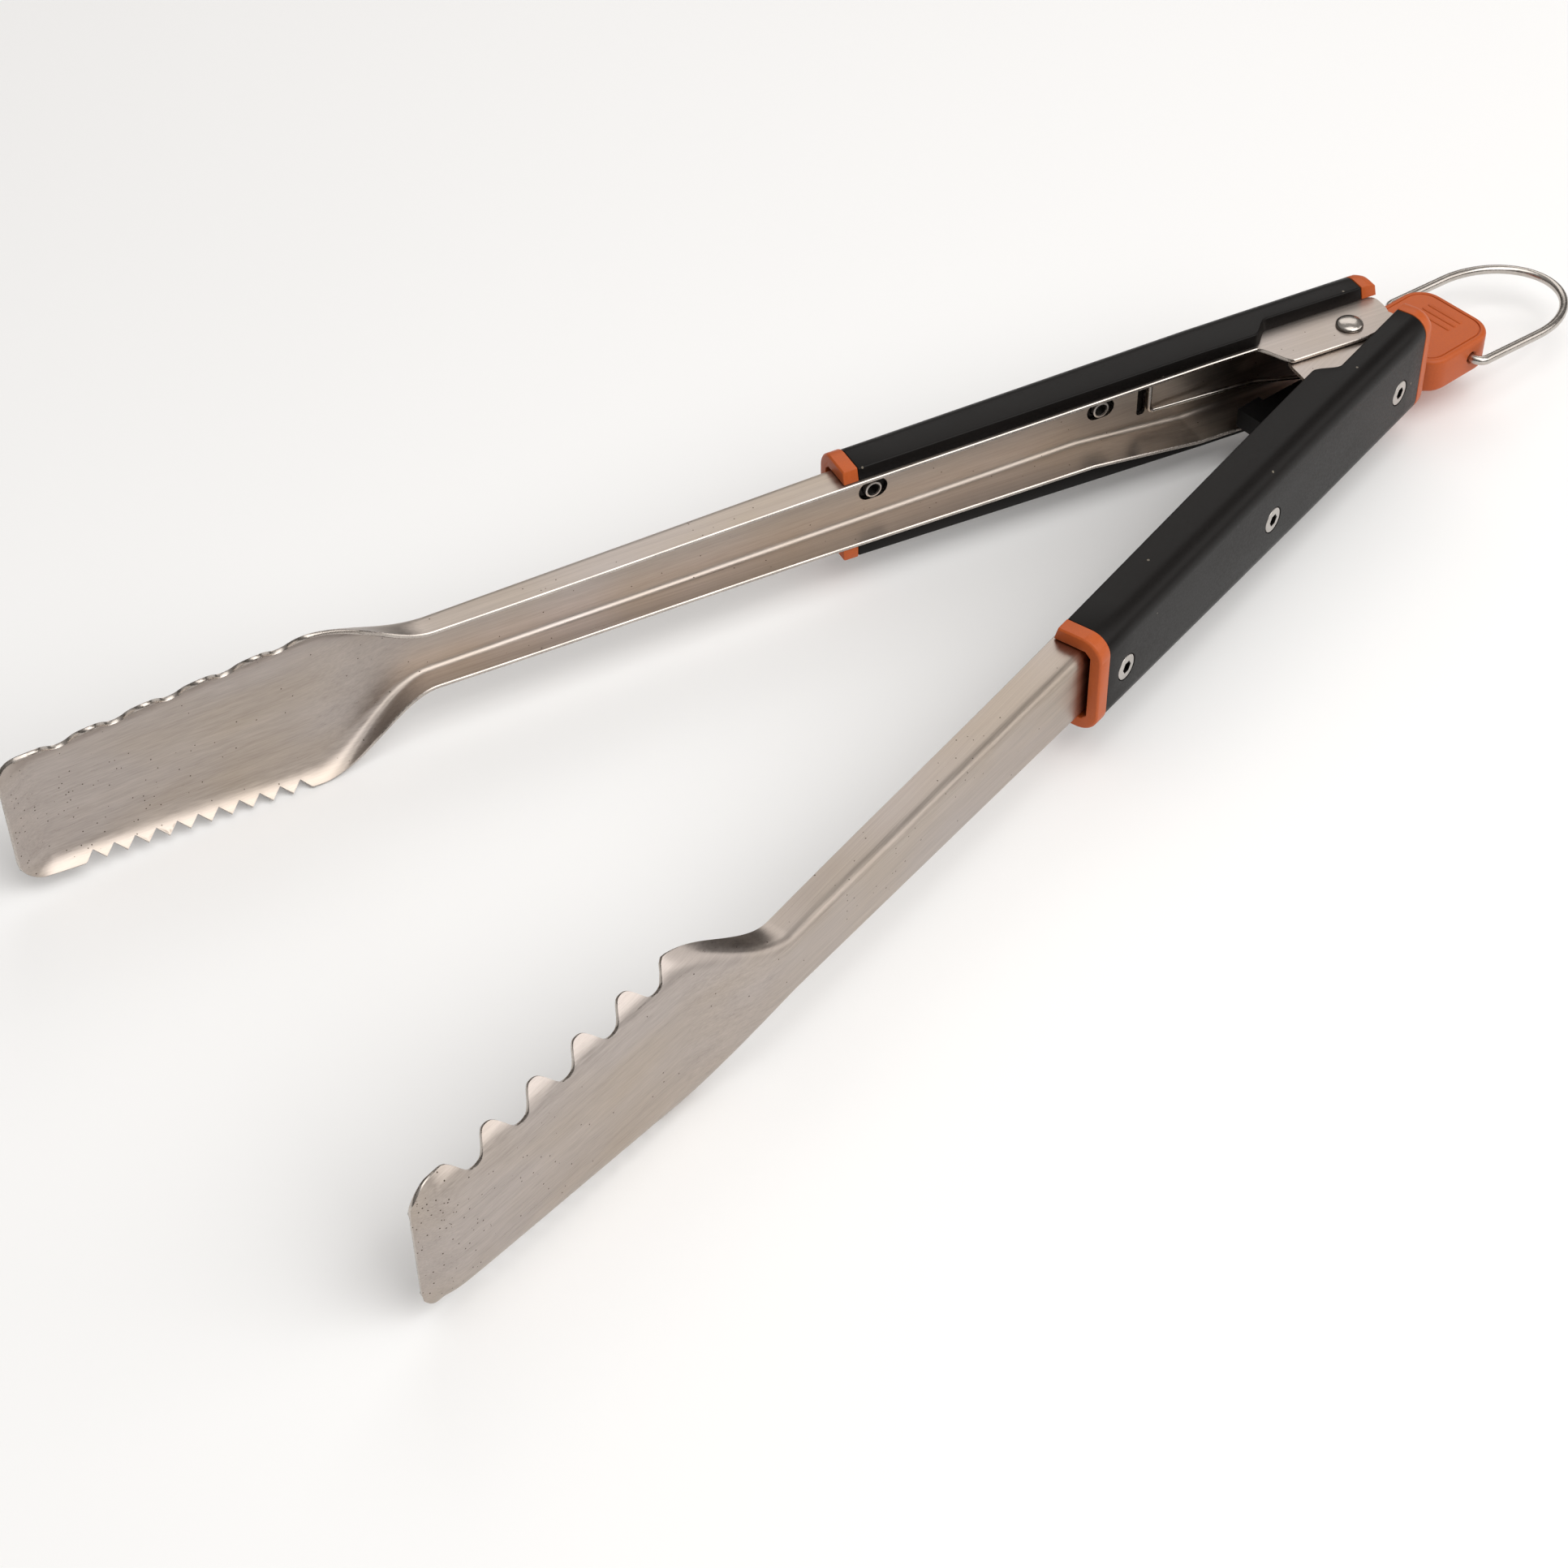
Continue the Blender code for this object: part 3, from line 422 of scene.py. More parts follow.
def tube(points, radius, sides=14):
    """A round wire along points, with rounded ends."""
    path = np.array([tuple(p) for p in points])
    ahead = np.gradient(path, axis=0)
    ahead /= np.linalg.norm(ahead, axis=1, keepdims=True)
    normal = Vector((0, 0, 1)).cross(Vector(ahead[0]))
    if normal.length < 0.1:
        normal = Vector((1, 0, 0)).cross(Vector(ahead[0]))
    rings = []
    for i, centre in enumerate(path):
        direction = Vector(ahead[i])
        normal = (normal - direction * normal.dot(direction)).normalized()
        other = direction.cross(normal)
        rings.append([Vector(centre) + (normal * math.cos(math.tau * k / sides)
                      + other * math.sin(math.tau * k / sides)) * radius
                      for k in range(sides)])
    first, last = Vector(ahead[0]) * radius * 0.3, Vector(ahead[-1]) * radius * 0.3
    start = [mix(Vector(path[0]), p, 0.72) - first for p in rings[0]]
    end = [mix(Vector(path[-1]), p, 0.72) + last for p in rings[-1]]
    return loft([start] + rings + [end])


# ---------------------------------------------------------------- arms

def channel_half(u):
    t = (u - TAPER_START) / (NECK_U - TAPER_START)
    return mix(HALF_REAR, HALF_NECK, min(max(t, 0.0), 1.0))


def web_face(u):
    return mix(WEB_REAR, WEB_NECK, min(max(u / NECK_U, 0.0), 1.0))


def tooth_cut(u):
    """Depth of the saw teeth below the lower rim's edge line."""
    phase = (u - TEETH_START) / TOOTH_PITCH
    if phase <= 0 or phase >= TOOTH_COUNT:
        past = max(TEETH_START - u, u - TEETH_START - TOOTH_COUNT * TOOTH_PITCH)
        return TOOTH_DEPTH * max(0.0, 1 - past / (TOOTH_PITCH * 0.45))
    return TOOTH_DEPTH * abs(2 * (phase - math.floor(phase)) - 1)


def scallop_cut(u):
    """Depth of the round bites below the upper rim's edge line; the lobes stand proud of it."""
    phase = (u - SCALLOP_START) / SCALLOP_PITCH
    away = abs(phase - min(max(round(phase), 0), SCALLOP_COUNT - 1))
    proud = mix(LOBE_PROUD, LOBE_PROUD_TIP, min(max(phase / (SCALLOP_COUNT - 1), 0.0), 1.0))
    rounded = (1 + math.cos(math.tau * min(away, 0.5))) / 2
    bite = (1 - smooth(away, 0.11, 0.43) + rounded) / 2
    return SCALLOP_DEPTH * bite - proud * smooth(u, 298.0, SHOULDER_U)


def lower_step(u):
    """How much nearer the hand's centre plane the lower side wall lies than the upper one."""
    start, end = LOWER_STEP_U
    if u < end:
        return LOWER_STEP * max(0.0, (u - start) / (end - start))
    return mix(LOWER_STEP, LOWER_STEP_NECK, min((u - end) / (NECK_U - end), 1.0))


def ear_edge(u):
    lip = mix(LIP_V, LIP_V_NECK, smooth(u, LIP_TAPER_START, NECK_U))
    return mix(EAR_V, lip, smooth(u, *EAR_CURVE))


def wall_points(face, corner, angle, width, radius, notch, sign):
    """Points from a wall's free edge, through its bend, to the web."""
    tangent = radius * math.tan(angle / 2)
    straight = width - tangent
    bend = radius * angle
    total = straight + bend
    end = max(total, notch + 1.0)
    points = []
    for along in list(np.linspace(0, straight, 6)) + list(np.linspace(straight, total, 9))[1:]:
        s = mix(notch, end, along / total)
        if s < straight:
            reach = width - s
            point = (face - reach * math.sin(angle), corner + reach * math.cos(angle))
        elif s < total:
            phi = angle * (1 - (s - straight) / bend)
            point = (face - radius * (1 - math.cos(phi)), corner - tangent + radius * math.sin(phi))
        else:
            point = (face, corner - tangent - (s - total))
        points.append((point[0], sign * point[1]))
    return points


def tip_drop(u):
    """How far the lip at the tip bends inward."""
    past = u - (ARM_LENGTH - TIP_LIP)
    return TIP_LIP_SLOPE * (math.hypot(past, TIP_LIP_SOFTNESS) + past) / 2


def arm_section(u, nested):
    """Mid-surface section of an arm at u, from the lower free edge to the upper one."""
    flare = smooth(u, NECK_U, SHOULDER_U)
    half = channel_half(u) - SHEET / 2
    if nested:
        half -= NEST_STEP * (1 - smooth(u, NEST_START, NEST_END))
    face_channel = web_face(u) - SHEET / 2
    edge_v = EDGE_V + EDGE_V_SLOPE * (u - SHOULDER_U)
    edge_z = EDGE_Z + EDGE_Z_SLOPE * (u - SHOULDER_U)
    depth = RIM * math.sin(SCALLOP_ANGLE)
    shallow = max(0.12, (depth - tip_drop(u)) / depth)
    face = mix(face_channel, edge_v + depth - tip_drop(u), flare)
    radius = mix(BEND_RADIUS, HEAD_BEND_RADIUS, flare)
    past = max(0.0, u - ARM_LENGTH + TIP_CORNER)
    corner_cut = TIP_CORNER - math.sqrt(max(0.0, TIP_CORNER ** 2 - past ** 2))
    sides = []
    for sign, rim_angle, notch in ((-1, TEETH_ANGLE, tooth_cut), (1, SCALLOP_ANGLE, scallop_cut)):
        head_angle = math.asin(math.sin(rim_angle) * shallow)
        angle = mix(math.pi / 2, head_angle, flare)
        width = mix(face_channel - ear_edge(u), RIM, flare)
        reach = half - lower_step(u) if sign < 0 else half
        corner = mix(reach, edge_z - RIM * math.cos(head_angle), flare)
        sides.append(wall_points(face, corner, angle, width, radius, notch(u) + corner_cut, sign))
    lower, upper = sides
    web = [(face, mix(lower[-1][1], upper[-1][1], t)) for t in (0.17, 0.33, 0.5, 0.67, 0.83)]
    return lower + web + upper[::-1]


def arm_stations():
    """Places along the arm where its section changes."""
    rear = spaced(ARM_REAR - 3.0, EAR_CURVE[0], 6.0)
    rear += spaced(*EAR_CURVE, 0.6)[1:] + spaced(EAR_CURVE[1], NEST_END, 1.5)[1:]
    shaft = [LOWER_STEP_U[0]] + spaced(*LOWER_STEP_U, 9.0)[1:] + spaced(LOWER_STEP_U[1], NECK_U, 12.0)[1:]
    first = TEETH_START - TOOTH_PITCH / 2
    neck = spaced(NECK_U, first, 1.3)[1:]
    last = TEETH_START + TOOTH_PITCH * (TOOTH_COUNT + 0.5)
    head = spaced(first, last, TOOTH_PITCH / 12)[1:]
    tip_start = ARM_LENGTH - TIP_CORNER
    tip = [tip_start + TIP_CORNER * math.sin(math.radians(a)) for a in (8, 16, 24, 32, 41, 50, 60, 70, 90)]
    return rear + shaft + neck + head + spaced(last, tip_start, 0.8)[1:] + tip


def sheet_solid(middle, thickness, edge):
    """Thicken a (rows, columns, 3) grid, with chamfered cut edges; also gives the edge's faces."""
    along, across = np.gradient(middle, axis=0), np.gradient(middle, axis=1)
    normal = np.cross(along, across)
    normal /= np.linalg.norm(normal, axis=2, keepdims=True)
    inset = middle.copy()
    for here, near in (((slice(None), 0), (slice(None), 1)), ((slice(None), -1), (slice(None), -2)),
                       ((-1, slice(None)), (-2, slice(None))), ((0, slice(None)), (1, slice(None)))):
        step = middle[near] - middle[here]
        length = np.linalg.norm(step, axis=-1, keepdims=True)
        inset[here] += step / length * np.minimum(edge, 0.45 * length)
    rows, cols = middle.shape[:2]
    size = rows * cols
    rim = [(r, 0) for r in range(rows)] + [(rows - 1, c) for c in range(1, cols)]
    rim += [(r, cols - 1) for r in range(rows - 2, -1, -1)] + [(0, c) for c in range(cols - 2, 0, -1)]
    rim_mid = np.array([middle[i] for i in rim])
    rim_normal = np.array([normal[i] for i in rim])
    half = thickness / 2
    verts = np.vstack(((inset + normal * half).reshape(-1, 3), (inset - normal * half).reshape(-1, 3),
                       rim_mid + rim_normal * (half - edge), rim_mid - rim_normal * (half - edge)))
    faces = []
    for r in range(rows - 1):
        for c in range(cols - 1):
            a, b = r * cols + c, (r + 1) * cols + c
            faces += [(a, a + 1, b + 1, b), (size + a, size + b, size + b + 1, size + a + 1)]
    edge_start = len(faces)
    count = len(rim)
    for i in range(count):
        j = (i + 1) % count
        a, b = (rim[k][0] * cols + rim[k][1] for k in (i, j))
        hi, lo = 2 * size, 2 * size + count
        faces += [(a, b, hi + j, hi + i), (hi + i, hi + j, lo + j, lo + i),
                  (lo + i, lo + j, size + b, size + a)]
    return verts, faces, range(edge_start, len(faces))


def oblong(u, length, width, steps=10):
    """A (u, z) slot outline with round ends."""
    reach = (length - width) / 2
    points = []
    for centre, start in ((reach, -math.pi / 2), (-reach, math.pi / 2)):
        for i in range(steps + 1):
            angle = start + math.pi * i / steps
            points.append((u + centre + width / 2 * math.cos(angle), width / 2 * math.sin(angle)))
    return points


def through_web(side, outline, place):
    return cutter(*loft([[ride(side, u, v, z) for u, z in outline] for v in (5.0, 25.0)]), place, CUT)


def through_ears(side, outline, low, high, place):
    return cutter(*loft([[ride(side, u, v, z) for u, v in outline] for z in (low, high)]), place, CUT)


def rounded(points, radius, steps=5):
    """Round a closed outline's corners."""
    out = []
    for i, p in enumerate(points):
        p = Vector(p)
        before, after = Vector(points[i - 1]) - p, Vector(points[(i + 1) % len(points)]) - p
        r = min(radius, before.length * 0.45, after.length * 0.45)
        a, b = p + before.normalized() * r, p + after.normalized() * r
        for k in range(steps + 1):
            t = k / steps
            out.append(tuple(a * (1 - t) ** 2 + p * 2 * t * (1 - t) + b * t * t))
    return out


def arm_steel(letter, side, nested):
    """One stamped stainless arm: ears, channel, neck and head."""
    place = arm_place(side)
    middle = np.array([[ride(side, u, v, z) for v, z in arm_section(u, nested)] for u in arm_stations()])
    verts, faces, edges = sheet_solid(middle, SHEET, CUT_EDGE)
    arm = piece(f"arm_{letter}_sheet", verts, faces, [STEEL, CUT], place, f"arm_{letter}",
                "brushed_stainless", edge_faces=edges)
    reach = HALF_REAR + 4.0
    ears = rounded([(0.0, EAR_V - 6.0), (0.0, EAR_V - 0.02), (-8.6, -5.4), (-12.6, -2.2), (ARM_REAR, 2.0),
                    (ARM_REAR, 8.8), (WEB_REAR_END, 9.8), (WEB_REAR_END, WEB_REAR + 3.0),
                    (-30.0, WEB_REAR + 3.0), (-30.0, EAR_V - 6.0)], 3.0)
    low, high = NOTCH_V
    past = EAR_CURVE[1] + 6.0
    hook = [(NOTCH_U, high), (past, high), (past, EAR_V - 5.0), (HOOK_ROOT_U, EAR_V - 5.0),
            (HOOK_ROOT_U, HOOK_V), (past - 4.0, HOOK_V), (past - 4.0, low), (NOTCH_U, low)]
    hole = disc_stack([(PIN_HOLE / 2, -reach), (PIN_HOLE / 2, reach)], 48, (0, 0, 0), (0, 0, 1))
    cutters = [through_ears(side, ears, -reach, reach, place), cutter(*hole, place, CUT),
               through_ears(side, rounded(hook, 0.8), -reach, 0.0, place)]
    cutters += [through_web(side, oblong(u, SLOT_LENGTH, SLOT_WIDTH), place) for u in SCREW_U]
    if not nested:
        window = rounded([(BAIL_U + 0.6, -7.0), (BAIL_U + 3.4, -7.0), (BAIL_U + 3.4, 7.0),
                          (BAIL_U + 0.6, 7.0)], 1.2)
        cutters.append(through_web(side, window, place))
    carve(arm, cutters, sharp=42.0)
    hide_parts(f"arm_{letter}_steel")
    return arm


# ---------------------------------------------------------------- covers, collars and caps

def cover_section(u, proud, shrink, relief, slack=0.0):
    """Closed (v, z) section of a U-shaped cover over the channel."""
    inner_half, inner_face = channel_half(u) + GAP, web_face(u) + GAP + slack
    outer_face = COVER_WEB + COVER_SLOPE * u + proud - shrink
    edge = mix(COVER_EDGE_REAR, COVER_EDGE, smooth(u, *COVER_STEP))
    section = []
    for sign, wall, draft, step in ((-1, COVER_WALL_LOWER, 0.0, lower_step(u)),
                                    (1, COVER_WALL, COVER_DRAFT, 0.0)):
        outer_half = inner_half + wall + proud - shrink
        half = inner_half - step
        line = [(inner_face, half - relief), (inner_face - relief, half), (edge, half),
                (edge + draft, outer_half)]
        for k in range(13):
            phi = math.pi / 2 * k / 12
            line.append((outer_face - COVER_RADIUS * (1 - math.sin(phi)),
                         outer_half - COVER_RADIUS * (1 - math.cos(phi))))
        section += [(v, sign * z) for v, z in (line if sign < 0 else line[::-1])]
    return section


def cover_shell(name, letter, side, stations, mat, slot_name, relief, cutters=(), edge=0.4, slack=0.0):
    rings = [[ride(side, u, v, z) for v, z in cover_section(u, proud, shrink, relief, slack)]
             for u, proud, shrink in stations]
    made = piece(name, *loft(rings), [mat], arm_place(side), f"arm_{letter}", slot_name)
    return carve(made, cutters, edge)


def handle_cover(letter, side):
    stations = spaced(COVER_REAR, COVER_STEP[0], 8.0) + spaced(*COVER_STEP, 0.6)[1:]
    stations += spaced(COVER_STEP[1], LOWER_STEP_U[0], 8.0)[1:] + [LOWER_STEP_U[1]]
    stations += spaced(LOWER_STEP_U[1], COVER_FRONT, 12.0)[1:]
    place = arm_place(side)
    bores = []
    for u in SCREW_U:
        face = COVER_WEB + COVER_SLOPE * u
        seat = -SCREW_THICKNESS - GAP
        head, nut = SCREW_HEAD / 2 + 0.22, NUT_OUTER / 2 + GAP
        profile = [(nut, 8.0 - face), (nut, seat), (head, seat), (head, -0.12),
                   (head + 0.2, 0.05), (head + 0.2, 3.0)]
        bores.append(cutter(*disc_stack(profile, 48, ride(side, u, face, 0), (0, side, 0)), place, BLACK))
    made = cover_shell(f"cover_{letter}", letter, side, [(u, 0.0, 0.0) for u in stations], BLACK,
                       "black_plastic", COVER_RELIEF, bores)
    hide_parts(f"handle_cover_{letter}")


def front_collar(letter, side):
    start = COVER_FRONT + GAP * 0.4
    end = COVER_FRONT + GAP + COLLAR_LENGTH
    stations = [(start, COLLAR_PROUD, 0.0), (end - COLLAR_BEVEL, COLLAR_PROUD, 0.0),
                (end, COLLAR_PROUD, 0.8 * COLLAR_BEVEL)]
    made = cover_shell(f"collar_{letter}", letter, side, stations, ORANGE, "orange_plastic",
                       COLLAR_RELIEF, edge=0.22, slack=COLLAR_SLACK)
    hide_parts(f"front_collar_{letter}")


def rear_cap(letter, side):
    start = COVER_REAR - GAP * 0.4
    end = COVER_REAR - GAP - CAP_LENGTH
    stations = [(start, 0.0, 0.0), (end + 2.5, 0.0, 0.0), (end + 1.3, 0.0, 0.3), (end + 0.4, 0.0, 0.6),
                (end, 0.0, 0.85)]
    made = cover_shell(f"cap_{letter}", letter, side, stations, ORANGE, "orange_plastic", CAP_RELIEF,
                       edge=0.2)
    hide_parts(f"rear_cap_{letter}")


# ---------------------------------------------------------------- fasteners

def cover_screw(letter, side, number, u):
    """Flat socket screw with a rounded rim, and its hexagon socket painted dark as shade."""
    face = COVER_WEB + COVER_SLOPE * u
    shank, head = 1.5, SCREW_HEAD / 2
    end = web_face(u) + 1.3 - face
    profile = [(shank, end), (shank, -SCREW_THICKNESS), (head, -SCREW_THICKNESS), (head, -0.25),
               (head - 0.08, -0.08), (head - 0.3, 0.04), (head - 0.6, 0.08), (1.9, 0.08)]
    centre = ride(side, u, face, 0)
    place = arm_place(side)
    segments = 40
    # The screw's end, seen inside the nut, gets the painted shade.
    inner_end = (len(profile) - 1) * segments           # the face that shows inside the nut
    made = piece(f"screw_{letter}{number}", *disc_stack(profile, segments, centre, (0, side, 0)),
                 [ZINC, PAINTED_SOCKET_SHADE], place, f"arm_{letter}", "satin_zinc", 25.0, [inner_end])
    radius = HEX_ACROSS / math.sqrt(3)
    rings = []
    for level, grow in ((-0.95, 0.0), (-0.1, 0.0), (0.1, 0.2), (1.0, 0.2)):
        rings.append([(centre[0] + (radius + grow) * math.cos(math.tau * i / 6), centre[1] + side * level,
                       (radius + grow) * math.sin(math.tau * i / 6)) for i in range(6)])
    # The hexagon recess gets the painted shade.
    carve(made, [cutter(*loft(rings), place, PAINTED_SOCKET_SHADE)], sharp=25.0)
    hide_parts(f"cover_screw_{letter}{number}")


def barrel_nut(letter, side, number, u):
    """Sleeve nut in the web's slot, with ridges of thread in its bore."""
    face = COVER_WEB + COVER_SLOPE * u
    low = web_face(u) - SHEET - 0.4
    high = face - SCREW_THICKNESS - 2 * GAP
    bore, outer = NUT_BORE / 2, NUT_OUTER / 2
    ridges = []
    steps = max(2, int((high - low) / 0.5))
    for i in range(steps):
        level = mix(high, low + 0.3, (i + 0.5) / steps)
        ridges += [(bore, level + 0.12), (bore - 0.18, level), (bore, level - 0.12)]
    profile = [(bore + 0.15, low), (outer - 0.3, low), (outer - 0.08, low + 0.08), (outer, low + 0.3),
               (outer, high), (bore, high)] + ridges
    segments = 36
    # The bore's thread faces get the painted shade.
    bore_faces = range(5 * segments, (len(profile) - 1) * segments)
    made = piece(f"nut_{letter}{number}",
                 *turned(profile, segments, ride(side, u, 0, 0), (0, side, 0)), [ZINC, PAINTED_SOCKET_SHADE],
                 arm_place(side), f"arm_{letter}", "satin_zinc", 30.0, bore_faces)
    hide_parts(f"barrel_nut_{letter}{number}")


def hinge_rivet():
    """Rivet with a domed head above and below the outer ears."""
    seat = HALF_REAR + 0.12
    radius = RIVET_HEAD / 2
    top = [(radius - 0.15, seat), (radius, seat + 0.15), (radius, seat + 0.35)]
    for step in range(1, 12):
        phi = math.pi / 2 * step / 12
        top.append((radius * math.cos(phi), seat + 0.35 + (RIVET_HEIGHT - 0.35) * math.sin(phi)))
    pin = RIVET_PIN / 2
    profile = [(r, -z) for r, z in top[::-1]] + [(pin, -seat), (pin, seat)] + top
    made = piece("rivet", *disc_stack(profile, 48, (0, 0, 0), (0, 0, 1)), [POLISHED],
                 Matrix.Translation(HINGE), "core", "polished_steel", 40.0)
    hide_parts("hinge_rivet")


# ---------------------------------------------------------------- spring

def torsion_spring():
    """Two coils around the sleeve, with a bail that follows arm A and legs that follow arm B."""
    inner_web = SHEET + GAP + WIRE / 2
    bail_v, leg_v = web_face(BAIL_U) - inner_web, web_face(LEG_U) - inner_web
    start, finish = math.radians(90) - OPEN_HALF_ANGLE, OPEN_HALF_ANGLE - math.radians(90)

    def coil(first_z, last_z, first, last):
        steps = round(abs(last - first) / math.tau * 36)
        return [Vector((COIL_RADIUS * math.cos(mix(first, last, i / steps)),
                        COIL_RADIUS * math.sin(mix(first, last, i / steps)),
                        mix(first_z, last_z, i / steps))) for i in range(steps + 1)]

    def straight(a, b, steps=24):
        return [mix(a, b, i / steps) for i in range(steps + 1)]

    lower_top = -BAIL_Z + COIL_PITCH * (LOWER_TURNS + 0.5)
    upper_top = BAIL_Z + COIL_PITCH * (UPPER_TURNS + 0.5)
    lower = coil(lower_top, -BAIL_Z, finish - math.tau * LOWER_TURNS, start)
    upper = coil(BAIL_Z, upper_top, start, finish - math.tau * UPPER_TURNS)
    elbow = 1.6
    bail = []
    for sign, z in ((-1, -BAIL_Z), (1, BAIL_Z)):
        root = lower[-1] if sign < 0 else upper[0]
        knee, end = arm_point(1, 23.0, 12.0, z), arm_point(1, BAIL_U - elbow, bail_v, z)
        run = straight(root, knee, 14) + straight(knee, end, 20)[1:]
        for k in range(1, 6):
            angle = math.pi / 2 * k / 5
            run.append(arm_point(1, BAIL_U - elbow * (1 - math.sin(angle)), bail_v,
                                 z - sign * elbow * (1 - math.cos(angle))))
        bail.append(run)
    path = bail[0] + straight(bail[0][-1], bail[1][-1], 8)[1:-1] + bail[1][::-1]
    place = Matrix.Translation(HINGE)
    for name, points in (("spring_coil_lower", lower), ("spring_coil_upper", upper)):
        piece(name, *tube(points, WIRE / 2), [POLISHED], place, "core", "polished_steel")
    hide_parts("torsion_spring")
    made = piece("spring_bail", *tube(path, WIRE / 2), [POLISHED], place, None, None)
    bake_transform(made)
    for name, root, z in (("spring_leg_lower", lower[0], lower_top),
                          ("spring_leg_upper", upper[-1], upper_top)):
        made = piece(name, *tube(straight(root, arm_point(-1, LEG_U, leg_v, z)), WIRE / 2), [POLISHED],
                     place, None, None)
        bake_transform(made)


# ---------------------------------------------------------------- tab and loop

def rounded_rectangle(x_low, x_high, half_width, radius, level, steps=9):
    points = []
    across = half_width - radius
    for cx, cy, start in ((x_high - radius, across, 0.0), (x_low + radius, across, 90.0),
                          (x_low + radius, -across, 180.0), (x_high - radius, -across, 270.0)):
        for i in range(steps + 1):
            angle = math.radians(start + 90.0 * i / steps)
            points.append((cx + radius * math.cos(angle), cy + radius * math.sin(angle), level))
    return points


def pull_tab():
    """Moulded tab with a grooved panel, grip ribs and holes for the loop."""
    low, high = TAB_Z
    levels = []
    for step in range(6):
        phi = math.pi / 2 * step / 5
        levels.append((low + TAB_EDGE * (1 - math.cos(phi)), TAB_EDGE * (1 - math.sin(phi))))
    for step in range(6):
        phi = math.pi / 2 * step / 5
        levels.append((high - TAB_EDGE * (1 - math.sin(phi)), TAB_EDGE * (1 - math.cos(phi))))
    levels[0:0] = [(low, TAB_EDGE + 1.5)]
    levels += [(high, 1.75), (high - 0.08, 1.82), (high - 0.45, 1.9), (high - 0.45, 2.2),
               (high - 0.08, 2.28), (high, 2.35), (high, 4.0)]
    rings = [rounded_rectangle(TAB_X[0] + inset, TAB_X[1] - inset, TAB_HALF_WIDTH - inset,
                               max(TAB_CORNER - inset, 1.0), level) for level, inset in levels]
    place = Matrix.Translation(HINGE)
    tab = piece("tab", *loft(rings), [ORANGE], place, "lock", "orange_plastic", 30.0)
    pocket = [(0.0, -STEM_HALF_WIDTH - GAP), (STEM_END + GAP, -STEM_HALF_WIDTH - GAP),
              (STEM_END + GAP, STEM_HALF_WIDTH + GAP), (0.0, STEM_HALF_WIDTH + GAP)]
    cutters = [cutter(*loft([[(x, y, z) for x, y in pocket] for z in (STEM_Z[0] - GAP, STEM_Z[1] + GAP)]),
                      place, ORANGE)]
    pivot = (LOOP_PIVOT - HINGE) / MM
    radius = LOOP_WIRE / 2 + GAP
    for side in (-1, 1):
        wall = TAB_HALF_WIDTH
        profile = [(radius, wall - LOOP_HOLE_DEPTH), (radius, wall - 0.4), (radius + 0.5, wall + 0.1),
                   (radius + 0.5, wall + 2.0)]
        cutters.append(cutter(*disc_stack(profile, 32, (pivot.x, 0, pivot.z), (0, side, 0)), place, ORANGE))
    carve(tab, cutters)
    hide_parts("pull_tab")
    for number in range(3):
        x = TAB_X[1] - 6.2 - 2.6 * number
        reach, half = 6.5, 0.65
        rib = []
        for level, inset in ((high - 0.3, 0.0), (high + 0.02, 0.0), (high + 0.22, 0.15), (high + 0.3, 0.4)):
            rib.append(rounded_rectangle(x - half + inset, x + half - inset, reach - inset,
                                         half - 0.01 - inset, level, 5))
        piece(f"tab_rib_{number}", *loft(rib), [ORANGE], place, "lock", "orange_plastic", 30.0)


def hanging_loop():
    """Bent wire with its ends turned into the tab's side holes."""
    bend = 3.0
    half = [(0.0, y) for y in spaced(TAB_HALF_WIDTH - LOOP_HOLE_DEPTH + 0.5, LOOP_HALF_WIDTH - bend, 0.8)]
    for step in range(1, 11):
        angle = math.pi / 2 * step / 10
        half.append((bend * (1 - math.cos(angle)), LOOP_HALF_WIDTH - bend * (1 - math.sin(angle))))
    straight = LOOP_LENGTH - LOOP_BOW
    half += [(x, LOOP_HALF_WIDTH) for x in spaced(bend, straight, 2.0)[1:]]
    for step in range(1, 37):
        angle = math.pi / 2 * step / 36
        half.append((straight + LOOP_BOW * math.sin(angle), LOOP_HALF_WIDTH * math.cos(angle)))
    flat = half + [(x, -y) for x, y in half[-2::-1]]
    path = [(x * math.cos(LOOP_DROOP), y, -x * math.sin(LOOP_DROOP)) for x, y in flat]
    made = piece("loop_wire", *tube(path, LOOP_WIRE / 2, 20), [POLISHED], Matrix.Translation(LOOP_PIVOT),
                 "loop", "polished_steel")
    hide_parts("hanging_loop")


# ---------------------------------------------------------------- studio

def soft_box(name, place, size, radiance, colour):
    """A rectangular light of a given brightness that faces the tool."""
    data = bpy.data.lights.new(name, "AREA")
    data.shape = "RECTANGLE"
    data.size, data.size_y = size
    data.energy = radiance * math.pi * size[0] * size[1]
    data.color = colour
    made = bpy.data.objects.new(name, data)
    bpy.context.scene.collection.objects.link(made)
    made.location = place
    made.rotation_euler = (-Vector(place)).to_track_quat("-Z", "Y").to_euler()


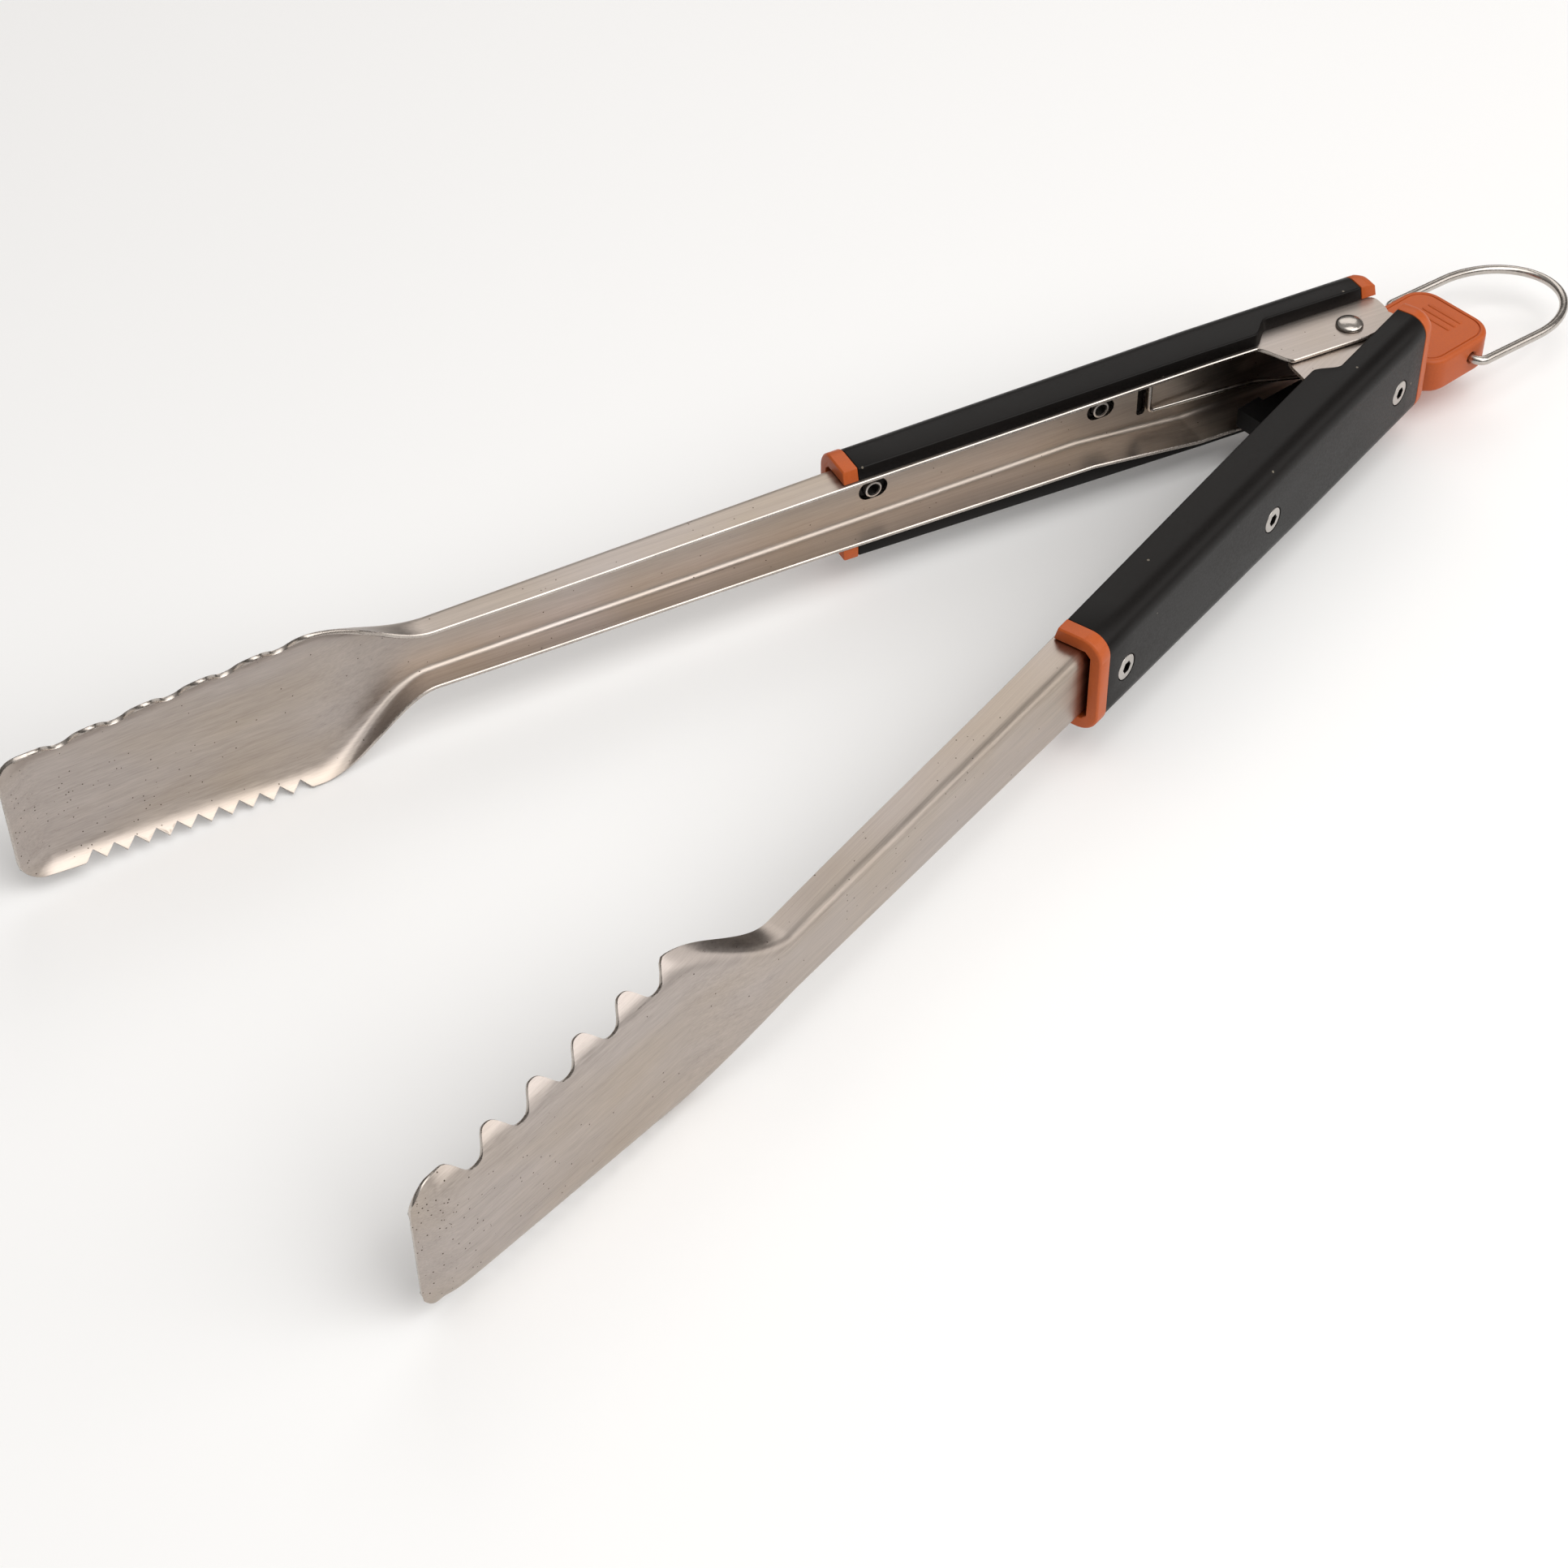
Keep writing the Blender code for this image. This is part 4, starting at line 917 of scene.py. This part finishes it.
def studio():
    """Pale floor, a dim sky that darkens to the horizon, and four soft boxes."""
    size = 6.0
    mesh = bpy.data.meshes.new("floor")
    corners = [(-size, -size, 0), (size, -size, 0), (size, size, 0), (-size, size, 0)]
    mesh.from_pydata(corners, [], [(0, 1, 2, 3)])
    floor = bpy.data.objects.new("floor", mesh)
    bpy.context.scene.collection.objects.link(floor)
    paint = Nodes("pale_floor", 0.9, 0.0)
    tone = paint.ramp(paint.noise((2.0, 2.0, 2.0), 2.0),
                      [(0.3, (0.95, 0.95, 0.95)), (0.7, (0.965, 0.965, 0.965))])
    mesh.materials.append(paint.finish(tone, Specular_IOR_Level=0.1))

    world = bpy.data.worlds.new("studio")
    bpy.context.scene.world = world
    world.use_nodes = True
    tree = world.node_tree
    sky = tree.nodes["Background"]
    place = tree.nodes.new("ShaderNodeTexCoord")
    split = tree.nodes.new("ShaderNodeSeparateXYZ")
    ramp = tree.nodes.new("ShaderNodeValToRGB")
    tree.links.new(place.outputs["Generated"], split.inputs["Vector"])
    tree.links.new(split.outputs["Z"], ramp.inputs["Fac"])
    tree.links.new(ramp.outputs["Color"], sky.inputs["Color"])
    ramp.color_ramp.elements[0].position = 0.05
    ramp.color_ramp.elements[0].color = (0.11, 0.098, 0.088, 1.0)
    ramp.color_ramp.elements[1].position = 0.95
    ramp.color_ramp.elements[1].color = (0.78, 0.765, 0.75, 1.0)
    sky.inputs["Strength"].default_value = 0.6

    warm, white = (1.0, 0.975, 0.95), (1.0, 0.99, 0.975)
    soft_box("back", (1.05, 1.05, 1.25), (1.5, 1.0), 1.25, warm)
    soft_box("front", (0.25, -1.25, 1.25), (1.7, 1.3), 2.5, white)
    soft_box("side", (1.35, -0.95, 0.7), (1.1, 0.7), 1.6, warm)
    soft_box("top", (-0.15, -0.45, 1.8), (1.5, 1.3), 1.8, white)


def camera():
    """The long lens that looks down at the tool from its tips and its near side."""
    azimuth, elevation, roll = math.radians(-39.6), math.radians(44.26), math.radians(-0.82)
    back = Vector((math.sin(azimuth) * math.cos(elevation), -math.cos(azimuth) * math.cos(elevation),
                   math.sin(elevation)))
    right = Vector((math.cos(azimuth), math.sin(azimuth), 0))
    up = back.cross(right)
    across = right * math.cos(roll) + up * math.sin(roll)
    upward = up * math.cos(roll) - right * math.sin(roll)
    data = bpy.data.cameras.new("camera")
    data.sensor_width = 36.0
    data.lens = LENS
    data.clip_start = 0.01
    made = bpy.data.objects.new("camera", data)
    bpy.context.scene.collection.objects.link(made)
    turn = Matrix((across, upward, back)).transposed().to_4x4()
    made.matrix_world = Matrix.Translation(HINGE + Vector(EYE) * MM) @ turn
    bpy.context.scene.camera = made


# ---------------------------------------------------------------- assembly

def build():
    for letter, side, nested in (("a", 1, False), ("b", -1, True)):
        arm_steel(letter, side, nested)
        handle_cover(letter, side)
        front_collar(letter, side)
        rear_cap(letter, side)
        for number, u in enumerate(SCREW_U, start=1):
            cover_screw(letter, side, number, u)
            barrel_nut(letter, side, number, u)
    hinge_rivet()
    torsion_spring()
    pull_tab()
    hanging_loop()
    for node, mat in (("lock_slide", DARK), ("lock_pin", ZINC), ("hinge_sleeve", ZINC)):
        slots = frame["nodes"][node].data.materials
        slots.clear()
        slots.append(mat)
    studio()
    camera()
    bpy.context.scene.view_settings.view_transform = "Standard"


build()
